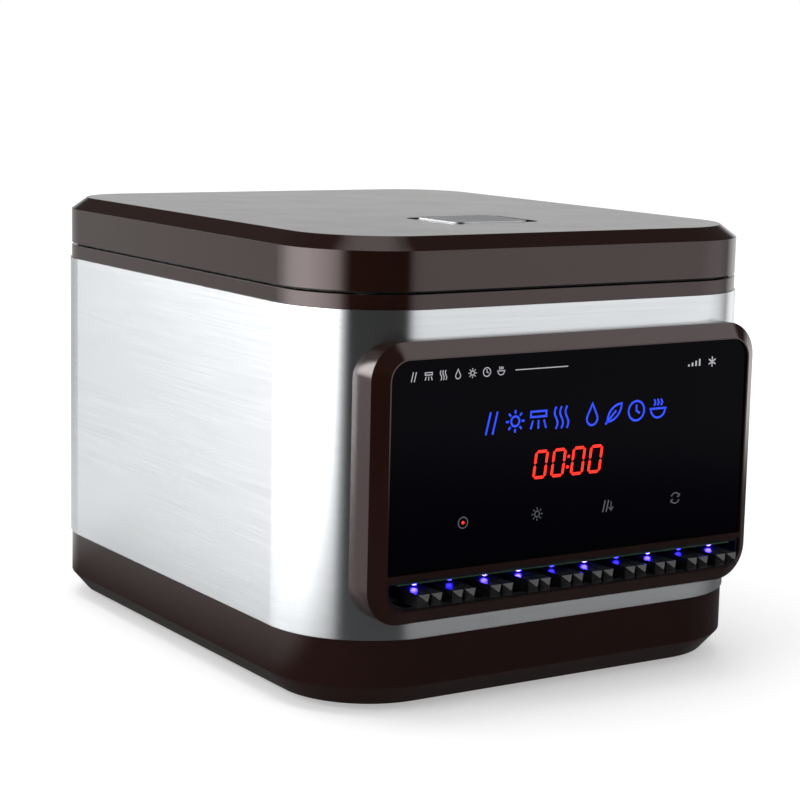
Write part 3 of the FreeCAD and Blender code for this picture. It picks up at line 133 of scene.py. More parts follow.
def mesh_piece(name, verts, faces, body, finish):
    """A mesh object that rides on a body."""
    mesh = bpy.data.meshes.new(name)
    mesh.from_pydata(verts, [], faces)
    mesh.validate()
    mesh.update()
    piece = bpy.data.objects.new(name, mesh)
    collection.objects.link(piece)
    mesh.materials.append(finish)
    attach(piece, body)
    return piece


# ---- camera and studio ----------------------------------------------------------------------------

CAMERA_ANGLES = (-32.825, 9.063, 1.306)     # degrees round from the front, up, and tilt
CAMERA_DISTANCE = 1341.6                    # millimetres from what it aims at
CAMERA_AIM = (7.43, 7.75, 137.34)           # millimetres
CAMERA_LENS, CAMERA_SENSOR = 97.31, 36      # millimetres


def place_camera():
    """Long lens low at the front-left corner, tilted a little about its own axis."""
    azimuth, elevation, roll = (math.radians(angle) for angle in CAMERA_ANGLES)
    distance = CAMERA_DISTANCE * MM
    target = Vector(CAMERA_AIM) * MM
    back = Vector((
        math.sin(azimuth) * math.cos(elevation), -math.cos(azimuth) * math.cos(elevation),
        math.sin(elevation)))
    right = Vector((math.cos(azimuth), math.sin(azimuth), 0))
    up = back.cross(right)
    rolled_right = right * math.cos(roll) + up * math.sin(roll)
    rolled_up = up * math.cos(roll) - right * math.sin(roll)
    camera = bpy.data.objects.new("camera", bpy.data.cameras.new("camera"))
    collection.objects.link(camera)
    camera.data.lens = CAMERA_LENS
    camera.data.sensor_width = CAMERA_SENSOR
    camera.matrix_world = Matrix.Translation(target + back * distance) @ Matrix(
        (rolled_right, rolled_up, back)).transposed().to_4x4()
    bpy.context.scene.camera = camera


# What polished faces mirror round the horizon: degrees from the front, to the right, and brightness.
HORIZON = (
    (-180, 0.54), (-160, 0.68), (-150, 0.7), (-137, 2.0), (-127, 3.75), (-117, 5.1),
    (-102, 5.8), (-87, 5.2), (-77, 4.4), (-67, 3.0), (-60, 0.8), (-54, 0.02), (5, 0.02),
    (14, 1.2), (24, 1.4), (58, 1.35), (75, 1.0), (92, 0.4), (99, 1.0), (110, 1.2),
    (140, 0.62), (180, 0.60))
BRIGHTEST = 6.0             # the ramp's stops are written as shares of this
PANEL_FADE = (0.08, 0.32)   # sines of the heights between which the panels fade out
CEILING = 0.07              # brightness over the panels
FILL, BACKDROP = 0.5, 1.0   # brightness that lights the object, and that the eye sees behind it
# Soft boxes that only polished faces see: degrees from the front, height, inner reach, outer
# reach and brightness.
GLOSS_BOXES = ((56, 45, 9, 27, 1.5), (-142, 20, 10, 24, 6.5), (0, 90, 12, 26, 1.2))


def compass(tree, direction):
    """The parts of a direction, and its angle from the front, to the right, in radians."""
    parts = add(tree, "ShaderNodeSeparateXYZ", {0: direction})
    forward = add(tree, "ShaderNodeMath", {0: parts.outputs["Y"], 1: -1.0}, operation="MULTIPLY")
    angle = add(
        tree, "ShaderNodeMath", {0: parts.outputs["X"], 1: forward.outputs[0]}, operation="ARCTAN2")
    return parts, angle.outputs[0]


def light_world():
    """Even soft fill, a white studio for the eye, and bright and dark panels for polished faces."""
    world = bpy.data.worlds.new("studio")
    bpy.context.scene.world = world
    world.use_nodes = True
    tree = world.node_tree
    direction = add(tree, "ShaderNodeTexCoord").outputs["Generated"]
    parts, azimuth = compass(tree, direction)
    turn = add(tree, "ShaderNodeMapRange", {
        "Value": azimuth, "From Min": -math.pi, "From Max": math.pi})
    panels = add(tree, "ShaderNodeValToRGB", {"Fac": turn.outputs["Result"]})
    stops = panels.color_ramp.elements
    stops.remove(stops[1])
    for place, (degrees, radiance) in enumerate(HORIZON):
        stop = stops.new((degrees + 180) / 360) if place else stops[0]
        stop.color = (radiance / BRIGHTEST,) * 3 + (1.0,)
    # The panels fade out a little above the horizon; over them hangs a dim ceiling.
    above = add(tree, "ShaderNodeMapRange", {
        "Value": parts.outputs["Z"], "From Min": PANEL_FADE[0], "From Max": PANEL_FADE[1],
        "To Min": 0.0, "To Max": 1.0}, interpolation_type="SMOOTHSTEP")
    bright = add(tree, "ShaderNodeMath", {0: panels.outputs["Color"], 1: BRIGHTEST}, operation="MULTIPLY")
    sky = add(tree, "ShaderNodeMix", {
        0: above.outputs["Result"], 2: bright.outputs[0], 3: CEILING}, data_type="FLOAT").outputs[0]
    for degrees, height, inner, outer, radiance in GLOSS_BOXES:
        around, up = math.radians(degrees), math.radians(height)
        middle = (math.sin(around) * math.cos(up), -math.cos(around) * math.cos(up), math.sin(up))
        near = add(tree, "ShaderNodeVectorMath", {0: direction, 1: middle}, operation="DOT_PRODUCT")
        box = add(tree, "ShaderNodeMapRange", {
            "Value": near.outputs["Value"], "From Min": math.cos(math.radians(outer)),
            "From Max": math.cos(math.radians(inner)), "To Min": 0.0, "To Max": radiance},
            interpolation_type="SMOOTHSTEP")
        sky = add(tree, "ShaderNodeMath", {0: sky, 1: box.outputs["Result"]}).outputs[0]
    ray = add(tree, "ShaderNodeLightPath")
    seen = add(tree, "ShaderNodeMath", {
        0: ray.outputs["Is Camera Ray"], 1: ray.outputs["Is Transmission Ray"]}, operation="MAXIMUM")
    lit_side = add(tree, "ShaderNodeMix", {
        0: ray.outputs["Is Glossy Ray"], 2: FILL, 3: sky}, data_type="FLOAT")
    final = add(tree, "ShaderNodeMix", {
        0: seen.outputs[0], 2: lit_side.outputs[0], 3: BACKDROP}, data_type="FLOAT")
    background = tree.nodes["Background"]
    background.inputs["Color"].default_value = (1, 1, 1, 1)
    tree.links.new(final.outputs[0], background.inputs["Strength"])


def softbox(name, place, aim, side, power):
    """A square lamp, in metres and watts, that polished faces don't mirror."""
    light = bpy.data.lights.new(name, "AREA")
    light.shape = "SQUARE"
    light.size = side
    light.energy = power
    box = bpy.data.objects.new(name, light)
    collection.objects.link(box)
    box.location = place
    box.rotation_euler = (Vector(place) - Vector(aim)).to_track_quat("Z", "Y").to_euler()
    box.visible_glossy = False


FLOOR_RADIUS = 7.0              # metres
FLOOR_DROP = 0.05               # millimetres below the feet, so that the faces never coincide
MIRRORED_PAPER = 0.75           # brightness of the paper in polished faces at the left
# Where that changes: from and to, in degrees from the front to the right, and by how much.
PAPER_STEPS = ((-78, -60, -0.67), (130, 160, 0.5))
HALF_PLAN = (0.150, 0.183)      # half the width, and half the depth with the bezel, in metres
SHADED_PAPER = 0.075            # brightness beside the object
SHADE_REACH = (0.02, 0.13)      # metres from the sides where that shade ends
PAPER_END = (0.55, 1.10)        # metres from the middle where mirrored paper fades out
GLOW_REACH = (0.3, 1.0)         # metres from the middle between which the paper's glow grows
PAPER_GLOW = (0.39, 0.62)


def studio_floor():
    """Pale sweep that keeps the shadow; polished faces see it bright at the left and dark in front."""
    bpy.ops.mesh.primitive_circle_add(
        vertices=96, radius=FLOOR_RADIUS, fill_type="NGON", location=(0, 0, -FLOOR_DROP * MM))
    floor = bpy.context.object
    floor.name = "studio_floor"
    made = bpy.data.materials.new("studio_paper")
    made.use_nodes = True
    tree = made.node_tree
    paper = tree.nodes["Principled BSDF"]
    paper.inputs["Base Color"].default_value = linear("#f2f2f2")
    paper.inputs["Roughness"].default_value = 0.9
    paper.inputs["Specular IOR Level"].default_value = 0.0
    paper.inputs["Emission Color"].default_value = (1, 1, 1, 1)
    place = add(tree, "ShaderNodeTexCoord").outputs["Object"]
    parts, azimuth = compass(tree, place)
    radiance = MIRRORED_PAPER
    for start, end, change in PAPER_STEPS:
        step = add(tree, "ShaderNodeMapRange", {
            "Value": azimuth, "From Min": math.radians(start), "From Max": math.radians(end),
            "To Min": 0.0, "To Max": change}, interpolation_type="SMOOTHSTEP")
        radiance = add(tree, "ShaderNodeMath", {0: radiance, 1: step.outputs["Result"]}).outputs[0]
    # Close to the sides the object's own shade keeps the paper dark in every mirrored view of it.
    reach = []
    for axis, half in zip("XY", HALF_PLAN):
        size = add(tree, "ShaderNodeMath", {0: parts.outputs[axis]}, operation="ABSOLUTE")
        reach.append(add(tree, "ShaderNodeMath", {0: size.outputs[0], 1: half}, operation="SUBTRACT"))
    beside = add(
        tree, "ShaderNodeMath", {0: reach[0].outputs[0], 1: reach[1].outputs[0]}, operation="MAXIMUM")
    strength = add(tree, "ShaderNodeMapRange", {
        "Value": beside.outputs[0], "From Min": SHADE_REACH[0], "From Max": SHADE_REACH[1],
        "To Min": SHADED_PAPER, "To Max": radiance})
    mirrored = add(tree, "ShaderNodeEmission", {"Color": (1, 1, 1, 1), "Strength": strength.outputs[0]})
    # Away from the object mirrored rays pass, so metal shows the studio beyond the paper.
    length = add(tree, "ShaderNodeVectorMath", {0: place}, operation="LENGTH")
    away = add(tree, "ShaderNodeMapRange", {
        "Value": length.outputs["Value"], "From Min": PAPER_END[0], "From Max": PAPER_END[1],
        "To Min": 0.0, "To Max": 1.0}, interpolation_type="SMOOTHSTEP")
    # The eye sees white paper out to the horizon, and the soft shade beside the object.
    ray = add(tree, "ShaderNodeLightPath")
    white = add(tree, "ShaderNodeMapRange", {
        "Value": length.outputs["Value"], "From Min": GLOW_REACH[0], "From Max": GLOW_REACH[1],
        "To Min": PAPER_GLOW[0], "To Max": PAPER_GLOW[1]})
    glow = add(tree, "ShaderNodeMath", {
        0: ray.outputs["Is Camera Ray"], 1: white.outputs["Result"]}, operation="MULTIPLY")
    tree.links.new(glow.outputs[0], paper.inputs["Emission Strength"])
    clear = add(tree, "ShaderNodeBsdfTransparent")
    beyond = add(tree, "ShaderNodeMixShader", {
        0: away.outputs["Result"], 1: mirrored.outputs[0], 2: clear.outputs[0]})
    shown = add(tree, "ShaderNodeMixShader", {
        0: ray.outputs["Is Glossy Ray"], 1: paper.outputs[0], 2: beyond.outputs[0]})
    tree.links.new(shown.outputs[0], tree.nodes["Material Output"].inputs["Surface"])
    floor.data.materials.append(made)


# ---- materials -------------------------------------------------------------------------------------
# Each one: colours, mottle size, range of roughness, haze size, grain size and grain depth. Sizes
# are in millimetres.

def make_finishes():
    return {
        # ABS from a polished tool: dark brown, deep gloss that shows lamps sharply, slight orange peel.
        "brown": surface(
            "abs_brown_gloss", ("#1f0e0a", "#23110d"), 60, (0.09, 0.13), 35, 3.0, 0.008, IOR=1.53,
            Specular_Tint=(1.0, 0.84, 0.85, 1.0)),
        # ABS in black: a duller and less even gloss than the brown.
        "black": surface(
            "abs_black_gloss", ("#060614", "#0a0a1c"), 40, (0.12, 0.22), 9, 3.0, 0.008, IOR=1.53),
        # Stainless sheet drawn lengthways under a belt: bright, sharp along the grain and satin across
        # it. Real grit lines are 0.1 mm wide and are drawn 0.5 mm wide here so that they show.
        "wrap": surface(
            "stainless_brushed", ("#d0d3d6", "#dee0e2"), (90, 90, 0.7), (0.24, 0.27), (70, 70, 1.6),
            (70, 70, 0.5), 0.004, Metallic=1.0, Anisotropic=0.93, Anisotropic_Rotation=0.25),
        # Stainless inner sheet, bead-blasted: it scatters most of its light, so it stays pale inside.
        "satin": surface(
            "stainless_blasted", ("#c6c9cc", "#d6d8da"), 50, (0.34, 0.42), 20, 0.5, 0.006, Metallic=0.7),
        # Zinc plated steel: cloudy blue-grey spangle some 9 mm across.
        "zinc": surface(
            "zinc_plated_sheet", ("#9aa0a6", "#b4b9bd"), 9, (0.32, 0.42), 18, 1.5, 0.01, Metallic=0.8),
        # Centreless ground steel: even grey with a faint ring of tool marks.
        "steel": surface(
            "ground_steel", ("#b3b3b5", "#c9c9ca"), 3, (0.15, 0.28), 6, (0.6, 4, 4), 0.006, Metallic=1.0),
        # Bead-blasted and anodised aluminium: soft sparkle from 0.3 mm pits.
        "grip": surface(
            "aluminium_anodised_satin", ("#dfe1e4", "#e9ebee"), 12, (0.30, 0.38), 20, 0.3, 0.01,
            Metallic=1.0),
        # Rolled bright aluminium: near-mirror with long rolling lines.
        "bright": surface(
            "aluminium_bright_rolled", ("#d5d7da", "#e8e9ea"), 12, (0.10, 0.20), (60, 3, 3),
            (60, 0.8, 0.8), 0.008, Metallic=1.0),
        # Fused quartz: clear, with a thin uneven haze.
        "quartz": surface(
            "fused_quartz", ("#e8eef8", "#f6f8ff"), 30, (0.05, 0.16), 14, 4.0, 0.005, IOR=1.46,
            Transmission_Weight=0.85),
        # Acetal in its natural white: waxy, slightly translucent, faint flow lines.
        "acetal": surface(
            "acetal_natural", ("#dcdcd6", "#e6e6e0"), 25, (0.33, 0.43), 12, 0.5, 0.02, IOR=1.48),
        # Extruded silicone, dark: dull in slightly uneven patches.
        "silicone": surface(
            "silicone_dark", ("#151413", "#201f1e"), 8, (0.5, 0.66), 5, 0.4, 0.03, IOR=1.41),
        # Moulded rubber: matt, spark-eroded skin.
        "rubber": surface(
            "rubber_matt", ("#111112", "#1a1a1b"), 10, (0.62, 0.78), 6, 0.6, 0.06, IOR=1.52),
        # Glass-filled PBT: charcoal with a dry fine grain.
        "pbt": surface(
            "pbt_glass_filled", ("#0d0d0f", "#151517"), 20, (0.36, 0.5), 10, 0.5, 0.03, IOR=1.57),
        # Pressed chopstick resin: near-black with a satin gloss.
        "resin": surface(
            "chopstick_resin", ("#0a0a0b", "#131315"), 14, (0.2, 0.3), 7, 0.4, 0.01, IOR=1.56),
        # Back-printed glass with a non-reflecting coat: almost no mirror image.
        "glass": surface(
            "coated_black_glass", ("#040309", "#06050b"), 90, (0.04, 0.08), 50, 8.0, 0.002, IOR=1.09),
        # Glass-fibre board under green solder mask: the weave shows as a mottle of 0.8 mm.
        "board": surface(
            "solder_mask_green", ("#0b3b1c", "#125028"), 0.8, (0.25, 0.36), 12, 0.8, 0.03, IOR=1.5),
        # Turned brass: slightly tarnished in patches, with fine turning lines.
        "brass": surface(
            "brass_turned", ("#a8853c", "#c9a55a"), 4, (0.2, 0.33), 5, (0.4, 3, 0.4), 0.008, Metallic=1.0),
        # Lit and printed marks: even, with a faint change over each one. The red and blue are lit; the white
        # and grey print glows faintly, which is painted light.
        "red": surface(
            "display_red", ("#ff1a0a", "#ff2c18"), 4, (0.36, 0.44), 4, 1.0, 0.002, Emission_Strength=1.2),
        "blue": surface(
            "display_blue", ("#0a1cb4", "#1f4cf0"), 2.2, (0.36, 0.44), 4, 1.0, 0.002, Emission_Strength=0.95),
        # White ink with a faint glow of its own: painted light, as print gives none.
        "white": surface(
            "ink_white_painted_glow", ("#a9acb1", "#c6c8cc"), 3, (0.36, 0.44), 4, 1.0, 0.002, Emission_Strength=0.3),
        # Grey ink with a faint glow of its own: painted light, as print gives none.
        "grey": surface(
            "ink_grey_painted_glow", ("#3c3e44", "#55575e"), 3, (0.36, 0.44), 4, 1.0, 0.002, Emission_Strength=0.5),
        # Outlet lamps: violet-blue domes, so bright that the middle washes out to white. Those of the
        # waiting lanes glow at about a quarter of that.
        "lamp": surface(
            "lamp_blue", ("#2a20ff", "#3a2cff"), 1.5, (0.1, 0.2), 4, 1.0, 0.002, Emission_Strength=95.0),
        "lamp_low": surface(
            "lamp_blue_low", ("#2018f0", "#2a22ff"), 1.5, (0.1, 0.2), 4, 1.0, 0.002, Emission_Strength=22.0),
    }


# ---- CAD nodes that keep their shape -----------------------------------------------------------------

FINISH_OF = {
    "brown": ["base_tray", "base_floor", "top_rim", "lid_shell", "front_bezel"],
    "black": ["outlet_trough", "lane_plate"],
    "wrap": ["steel_wrap"],
    "satin": ["hopper", "lid_liner"],
    "zinc": ["feed_frame", "motor_bracket", "heater_duct"],
    "steel": ["hinge_pin_left", "hinge_pin_right", "grip_pin", "gear_motor"],
    "grip": ["lid_grip"],
    "bright": ["lamp_reflector", "heater_core"],
    "quartz": ["uv_tube"],
    "acetal": ["pusher_comb", "drive_rack", "drive_pinion", "rack_guide", "lamp_sockets"],
    "silicone": ["lid_seal"],
    "rubber": ["feet"],
    "pbt": ["fan_frame", "fan_rotor", "mains_inlet", "transformer"],
    "resin": [f"chopstick_pair_{number}" for number in range(1, 11)],
    "glass": ["glass_panel"],
    "board": ["display_board", "power_board", "led_strip"],
    "red": ["clock_module"],
    "blue": ["message_module"],
    "brass": ["inlet_pins", "board_standoffs"],
}


def dress(finishes):
    for finish, nodes in FINISH_OF.items():
        for node in nodes:
            for slot in frame["nodes"][node].material_slots:
                slot.material = finishes[finish]


EDGE_MM, EDGE_STEPS, EDGE_ANGLE = 0.5, 3, 28    # rounding: width, facets and least angle in degrees
WELD_MM, FLAT_ANGLE = 0.002, 0.6                # corners and faces this close count as one


def soften(node, finish):
    """A copy of a moulding with its sharp edges rounded, in place of the plain node."""
    source = frame["nodes"][node]
    mesh = bpy.data.meshes.new(node + "_moulding")
    shape = bmesh.new()
    shape.from_mesh(source.data)
    bmesh.ops.remove_doubles(shape, verts=shape.verts, dist=WELD_MM * MM)
    bmesh.ops.dissolve_limit(
        shape, angle_limit=math.radians(FLAT_ANGLE), verts=shape.verts, edges=shape.edges,
        delimit={"NORMAL"})
    for face in shape.faces:
        face.smooth = True
    shape.to_mesh(mesh)
    shape.free()
    piece = bpy.data.objects.new(node + "_moulding", mesh)
    collection.objects.link(piece)
    piece.matrix_world = source.matrix_world
    mesh.materials.clear()
    mesh.materials.append(finish)
    edge = piece.modifiers.new("rounded_edges", "BEVEL")
    edge.width = EDGE_MM * MM
    edge.segments = EDGE_STEPS
    edge.limit_method = "ANGLE"
    edge.angle_limit = math.radians(EDGE_ANGLE)
    edge.use_clamp_overlap = True
    flat = piece.modifiers.new("flat_faces", "WEIGHTED_NORMAL")
    flat.mode = "FACE_AREA"
    flat.weight = 100
    flat.keep_sharp = True
    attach(piece, body_of(source)[0])
    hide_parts(node)


# ---- outlet lamps ------------------------------------------------------------------------------------

LANES = 10
WAITING_LANES = (1, 4, 6, 8)        # counted from 0 at the left
DOME_STRETCH = 1.35                 # width of a dome over its depth
DOME_RINGS, DOME_TURNS = 5, 16      # facets down and round a dome


def outlet_lamp_domes(finishes):
    """Oblong domes under the lamp strip, one over each lane, in place of the plain chips."""
    low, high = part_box("outlet_lamps")
    deep, tall = high.y - low.y, high.z - low.z
    wide = DOME_STRETCH * deep
    pitch = (high.x - low.x - deep) / (LANES - 1)
    rings, turns = DOME_RINGS, DOME_TURNS
    ready = [lane for lane in range(LANES) if lane not in WAITING_LANES]
    for name, chosen in (("lamp", ready), ("lamp_low", WAITING_LANES)):
        verts, faces = [], []
        for lane in chosen:
            start = len(verts)
            middle = Vector((low.x + deep / 2 + lane * pitch, (low.y + high.y) / 2, high.z))
            for ring in range(rings):
                dip = 0.5 * math.pi * ring / rings
                for step in range(turns):
                    turn = math.tau * step / turns
                    verts.append(middle + Vector((
                        wide / 2 * math.cos(dip) * math.cos(turn),
                        deep / 2 * math.cos(dip) * math.sin(turn), -tall * math.sin(dip))))
            verts.append(middle - Vector((0, 0, tall)))
            for ring in range(rings - 1):
                for step in range(turns):
                    after = (step + 1) % turns
                    corner = start + ring * turns
                    faces.append([
                        corner + after, corner + step, corner + turns + step, corner + turns + after])
            tip, last = start + rings * turns, start + (rings - 1) * turns
            faces += [[last + (step + 1) % turns, last + step, tip] for step in range(turns)]
            faces.append([start + step for step in range(turns)])
        domes = mesh_piece(name + "_domes", verts, faces, "housing", finishes[name])
        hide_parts("outlet_lamps")


# ---- marks on the control glass -----------------------------------------------------------------------

def ribbon(path, width, closed=False):
    """Outline points either side of a drawn line, with mitred corners."""
    spots = [Vector(spot) for spot in path]
    count = len(spots)
    left, right = [], []
    for place, spot in enumerate(spots):
        before = spots[place - 1] if closed or place else None
        after = spots[(place + 1) % count] if closed or place < count - 1 else None
        ways = [way.normalized() for way in (
            spot - before if before is not None else None,
            after - spot if after is not None else None) if way is not None]
        along = sum(ways, Vector((0, 0))).normalized()
        across = Vector((-along.y, along.x))
        stretch = max(0.5, across.dot(Vector((-ways[0].y, ways[0].x))))
        reach = across * (width / 2 / stretch)
        left.append(spot + reach)
        right.append(spot - reach)
    return left, right


class Marks:
    """Flat marks drawn in millimetres, x to the right and z up, and raised a little from a face."""

    def __init__(self, level_y, depth):
        self.verts, self.faces = [], []
        self.level_y, self.depth = level_y, depth

    def solid(self, outline):
        """A raised plate with the given outline."""
        start, count = len(self.verts), len(outline)
        for y in (self.level_y, self.level_y - self.depth):
            self.verts += [(x * MM, y * MM, z * MM) for x, z in outline]
        self.faces.append([start + i for i in range(count)])
        self.faces.append([start + count + i for i in reversed(range(count))])
        for i in range(count):
            j = (i + 1) % count
            self.faces.append([start + j, start + i, start + count + i, start + count + j])

    def stroke(self, path, width, closed=False):
        """A line of even width along a path."""
        left, right = ribbon(path, width, closed)
        count = len(left)
        for i in range(count if closed else count - 1):
            j = (i + 1) % count
            self.solid([left[i], left[j], right[j], right[i]])

    def arc(self, middle, radius, start, end, width, steps=20):
        """An arc in degrees, anticlockwise from the right."""
        closed = end - start >= 360
        number = steps if closed else steps + 1
        angles = [math.radians(start + (end - start) * i / steps) for i in range(number)]
        self.stroke(
            [(middle[0] + radius * math.cos(a), middle[1] + radius * math.sin(a)) for a in angles],
            width, closed)

    def disc(self, middle, radius, steps=20):
        turn = [math.tau * i / steps for i in range(steps)]
        self.solid([(middle[0] + radius * math.cos(a), middle[1] + radius * math.sin(a)) for a in turn])

    def piece(self, name, finish, slot):
        """All the marks drawn so far, as one piece of the housing."""
        mesh_piece(name, self.verts, self.faces, "housing", finish)


GLASS_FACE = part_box("glass_panel")[0].y / MM
PRINT = 0.06    # thickness of the marks on the glass, in millimetres


def segment(length, thick):
    """A lying clock segment with pointed ends, about its middle."""
    half, tip = length / 2, thick / 2
    return [
        (-half, 0), (tip - half, tip), (half - tip, tip), (half, 0), (half - tip, -tip),
        (tip - half, -tip)]


# Clock, in millimetres: a nought's height and width, a segment's thickness, the gap between two
# segments and how much a lying one is shorter than the nought; then the lean for each millimetre up.
DIGIT_HEIGHT, DIGIT_WIDTH, SEGMENT_THICK, SEGMENT_GAP, SEGMENT_INSET = 14.2, 7.4, 1.6, 0.5, 0.7
LEAN = 0.12
CLOCK_LEVEL, CLOCK_MIDDLE = 124.8, -1.0
DIGIT_PLACES = (-23.2, -11.2, 2.1, 14.0)
COLON_PLACE, COLON_RISES = -4.7, (4.2, 10.0)


def clock_digits(finishes):
    """Four leaning noughts of six lit segments each, and the colon of the clock."""
    marks = Marks(GLASS_FACE, PRINT)
    run = DIGIT_HEIGHT / 2 - SEGMENT_GAP
    lower = run / 2 + SEGMENT_GAP / 2
    upper = DIGIT_HEIGHT - lower
    flat = segment(DIGIT_WIDTH - SEGMENT_INSET, SEGMENT_THICK)
    upright = [(z, x) for x, z in segment(run, SEGMENT_THICK)][::-1]
    for centre in DIGIT_PLACES:
        for level, side, shape in (
                (0, 0, flat), (DIGIT_HEIGHT, 0, flat), (lower, -1, upright), (lower, 1, upright),
                (upper, -1, upright), (upper, 1, upright)):
            middle = CLOCK_MIDDLE + centre + side * DIGIT_WIDTH / 2
            marks.solid([
                (middle + x + LEAN * (z + level), CLOCK_LEVEL + z + level) for x, z in shape])
    for rise in COLON_RISES:
        x, z = CLOCK_MIDDLE + COLON_PLACE + LEAN * rise, CLOCK_LEVEL + rise
        marks.solid([(x - 0.8, z - 0.75), (x + 0.7, z - 0.75), (x + 0.9, z + 0.75), (x - 0.6, z + 0.75)])
    marks.piece("clock_digits", finishes["red"], "red_display")


# Each picture is drawn about a point, in shares of its size, with lines of one width.

def chopstick_mark(marks, x, z, size, width):
    for shift in (-0.18, 0.18):
        marks.stroke([
            (x + (shift - 0.12) * size, z - 0.5 * size),
            (x + (shift + 0.12) * size, z + 0.5 * size)], width)


def drop_mark(marks, x, z, size, width):
    radius = 0.3 * size
    arc = [math.radians(a) for a in range(150, 391, 20)]
    path = [(x, z + 0.5 * size)]
    path += [(x + radius * math.cos(a), z - 0.18 * size + radius * math.sin(a)) for a in arc]
    marks.stroke(path, width, True)


def heat_mark(marks, x, z, size, width):
    for shift in (-0.3, 0.0, 0.3):
        path = []
        for i in range(13):
            rise = i / 12
            path.append((x + size * (shift + 0.09 * math.sin(rise * math.tau)), z + size * (rise - 0.5)))
        marks.stroke(path, width)


def sun_mark(marks, x, z, size, width):
    marks.arc((x, z), 0.22 * size, 0, 360, width)
    for ray in range(8):
        a = math.tau * ray / 8
        marks.stroke([
            (x + 0.34 * size * math.cos(a), z + 0.34 * size * math.sin(a)),
            (x + 0.5 * size * math.cos(a), z + 0.5 * size * math.sin(a))], width)


def bowl_mark(marks, x, z, size, width):
    marks.arc((x, z + 0.02 * size), 0.42 * size, 180, 360, width)
    marks.stroke([(x - 0.5 * size, z + 0.02 * size), (x + 0.5 * size, z + 0.02 * size)], width)
    for shift in (-0.2, 0.0, 0.2):
        marks.stroke([
            (x + shift * size - 0.04 * size, z + 0.16 * size),
            (x + shift * size + 0.04 * size, z + 0.30 * size),
            (x + shift * size - 0.04 * size, z + 0.46 * size)], width)


def lamp_mark(marks, x, z, size, width):
    marks.stroke([
        (x - 0.42 * size, z + 0.12 * size), (x + 0.42 * size, z + 0.12 * size),
        (x + 0.42 * size, z + 0.36 * size), (x - 0.42 * size, z + 0.36 * size)], width, True)
    for shift in (-0.3, 0.0, 0.3):
        marks.stroke([(x + shift * size, z - 0.04 * size), (x + 1.4 * shift * size, z - 0.42 * size)], width)


def leaf_mark(marks, x, z, size, width):
    arc = [math.radians(a) for a in range(0, 91, 15)]
    radius = 0.8 * size
    low = [(x - 0.4 * size + radius * (1 - math.cos(a)), z - 0.4 * size + radius * math.sin(a)) for a in arc]
    high = [(x + 0.4 * size - radius * (1 - math.cos(a)), z + 0.4 * size - radius * math.sin(a)) for a in arc]
    marks.stroke(low + high[1:-1], width, True)
    marks.stroke([(x - 0.5 * size, z - 0.5 * size), (x + 0.1 * size, z + 0.1 * size)], width)


def clock_mark(marks, x, z, size, width):
    marks.arc((x, z), 0.45 * size, 0, 360, width)
    marks.stroke([(x, z + 0.28 * size), (x, z), (x + 0.2 * size, z - 0.12 * size)], width)


# The marks' places on the glass, in millimetres: x to the right of the middle, z up from the feet's
# underside. A row has its first place, pitch, level, size of a picture and width of a line.
MESSAGE_ROW = (-56.5, 15.4, 156.8, 12.2, 1.15)
MESSAGE_GAP = 5.6               # more space between the two groups of four
HEADING_ROW = (-106.5, 9.2, 184.6, 5.2, 0.5)
HEADING_RULE = (-42, -7)
STAR_X, STAR_LEVEL, STAR_REACH, STAR_LINE = 95, 181.3, 2.9, 0.75
BARS_X, BARS_PITCH, BARS_FOOT, BARS_LINE = 78, 2.6, 179.4, 1.1
BAR_LEAST, BAR_GROWTH = 1.2, 0.9
KEY_LEVEL = 104.6
POWER_X, LIGHT_X, FEED_X, REPEAT_X = -73.2, -24.6, 22.4, 72.1
FEED_ARROW_X = 26.2
KEY_RING, KEY_LINE = 3.0, 0.6


def message_icons(finishes):
    """Row of blue pictures: what the machine does, in two groups of four."""
    marks = Marks(GLASS_FACE, PRINT)
    first, pitch, level, size, line = MESSAGE_ROW
    drawings = (
        chopstick_mark, sun_mark, lamp_mark, heat_mark, drop_mark, leaf_mark, clock_mark, bowl_mark)
    for place, draw in enumerate(drawings):
        draw(marks, first + pitch * place + (MESSAGE_GAP if place > 3 else 0), level, size, line)
    marks.piece("message_icons", finishes["blue"], "blue_display")


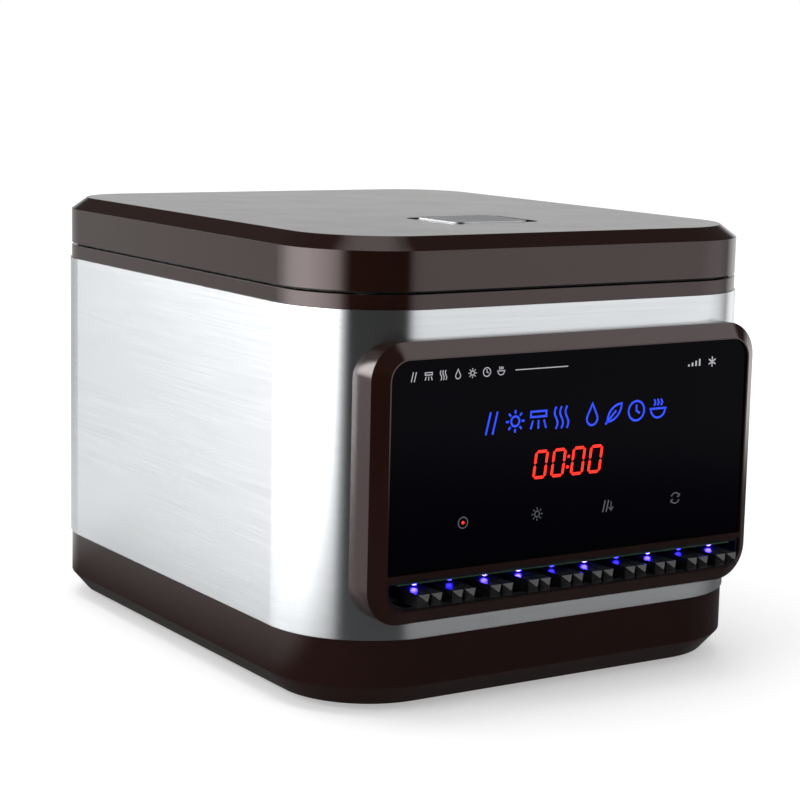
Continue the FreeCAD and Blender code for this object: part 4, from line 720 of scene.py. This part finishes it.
def heading_print(finishes):
    """White print along the top: small pictures and a rule, then signal bars and a star."""
    marks = Marks(GLASS_FACE, PRINT)
    first, pitch, level, size, line = HEADING_ROW
    drawings = (
        chopstick_mark, lamp_mark, heat_mark, drop_mark, sun_mark, clock_mark, bowl_mark)
    for place, draw in enumerate(drawings):
        draw(marks, first + pitch * place, level, size, line)
    marks.stroke([(x, level) for x in HEADING_RULE], line)
    for ray in range(3):
        a = math.pi * ray / 3 + math.pi / 2
        marks.stroke([
            (STAR_X + end * STAR_REACH * math.cos(a), STAR_LEVEL + end * STAR_REACH * math.sin(a))
            for end in (-1, 1)], STAR_LINE)
    for bar in range(4):
        x = BARS_X + BARS_PITCH * bar
        marks.stroke([(x, BARS_FOOT), (x, BARS_FOOT + BAR_LEAST + BAR_GROWTH * bar)], BARS_LINE)
    # Its finish gives the white print a faint painted glow.
    marks.piece("heading_print", finishes["white"], "black_glass")


def key_print(finishes):
    """Grey print over the four touch keys: power ring, light, feed and repeat."""
    marks = Marks(GLASS_FACE, PRINT)
    z = KEY_LEVEL
    marks.arc((POWER_X, z), KEY_RING, 0, 360, KEY_LINE)
    sun_mark(marks, LIGHT_X, z, 7.4, KEY_LINE)
    chopstick_mark(marks, FEED_X, z, 6.6, 0.8)
    x = FEED_ARROW_X
    marks.stroke([(x, z + 2.4), (x, z - 2.2)], KEY_LINE)
    marks.stroke([(x - 1.6, z - 0.8), (x, z - 2.6), (x + 1.6, z - 0.8)], KEY_LINE)
    x = REPEAT_X
    marks.arc((x, z), KEY_RING, 20, 160, 0.7)
    marks.arc((x, z), KEY_RING, 200, 340, 0.7)
    for side in (-1, 1):
        marks.stroke([
            (x + side * 1.3, z + side * 0.7), (x + side * 2.9, z + side * 0.9),
            (x + side * 3.2, z + side * 2.5)], KEY_LINE)
    # Its finish gives the grey print a faint painted glow.
    marks.piece("key_print", finishes["grey"], "black_glass")


def power_dot(finishes):
    """Red dot in the power ring."""
    marks = Marks(GLASS_FACE, PRINT)
    marks.disc((POWER_X, KEY_LEVEL), 0.9)
    marks.piece("power_dot", finishes["red"], "red_display")


finishes = make_finishes()
place_camera()
light_world()
softbox("top_softbox", place=(-0.2, 0.2, 1.9), aim=(0, 0, 0.1), side=1.6, power=14)
softbox("left_softbox", place=(-1.8, -0.3, 0.9), aim=(0, 0, 0.12), side=1.2, power=12)
studio_floor()
dress(finishes)
for moulding in ("base_tray", "top_rim", "lid_shell", "front_bezel"):
    soften(moulding, finishes["brown"])
outlet_lamp_domes(finishes)
clock_digits(finishes)
message_icons(finishes)
heading_print(finishes)
key_print(finishes)
power_dot(finishes)

bpy.context.scene.view_settings.view_transform = "Standard"
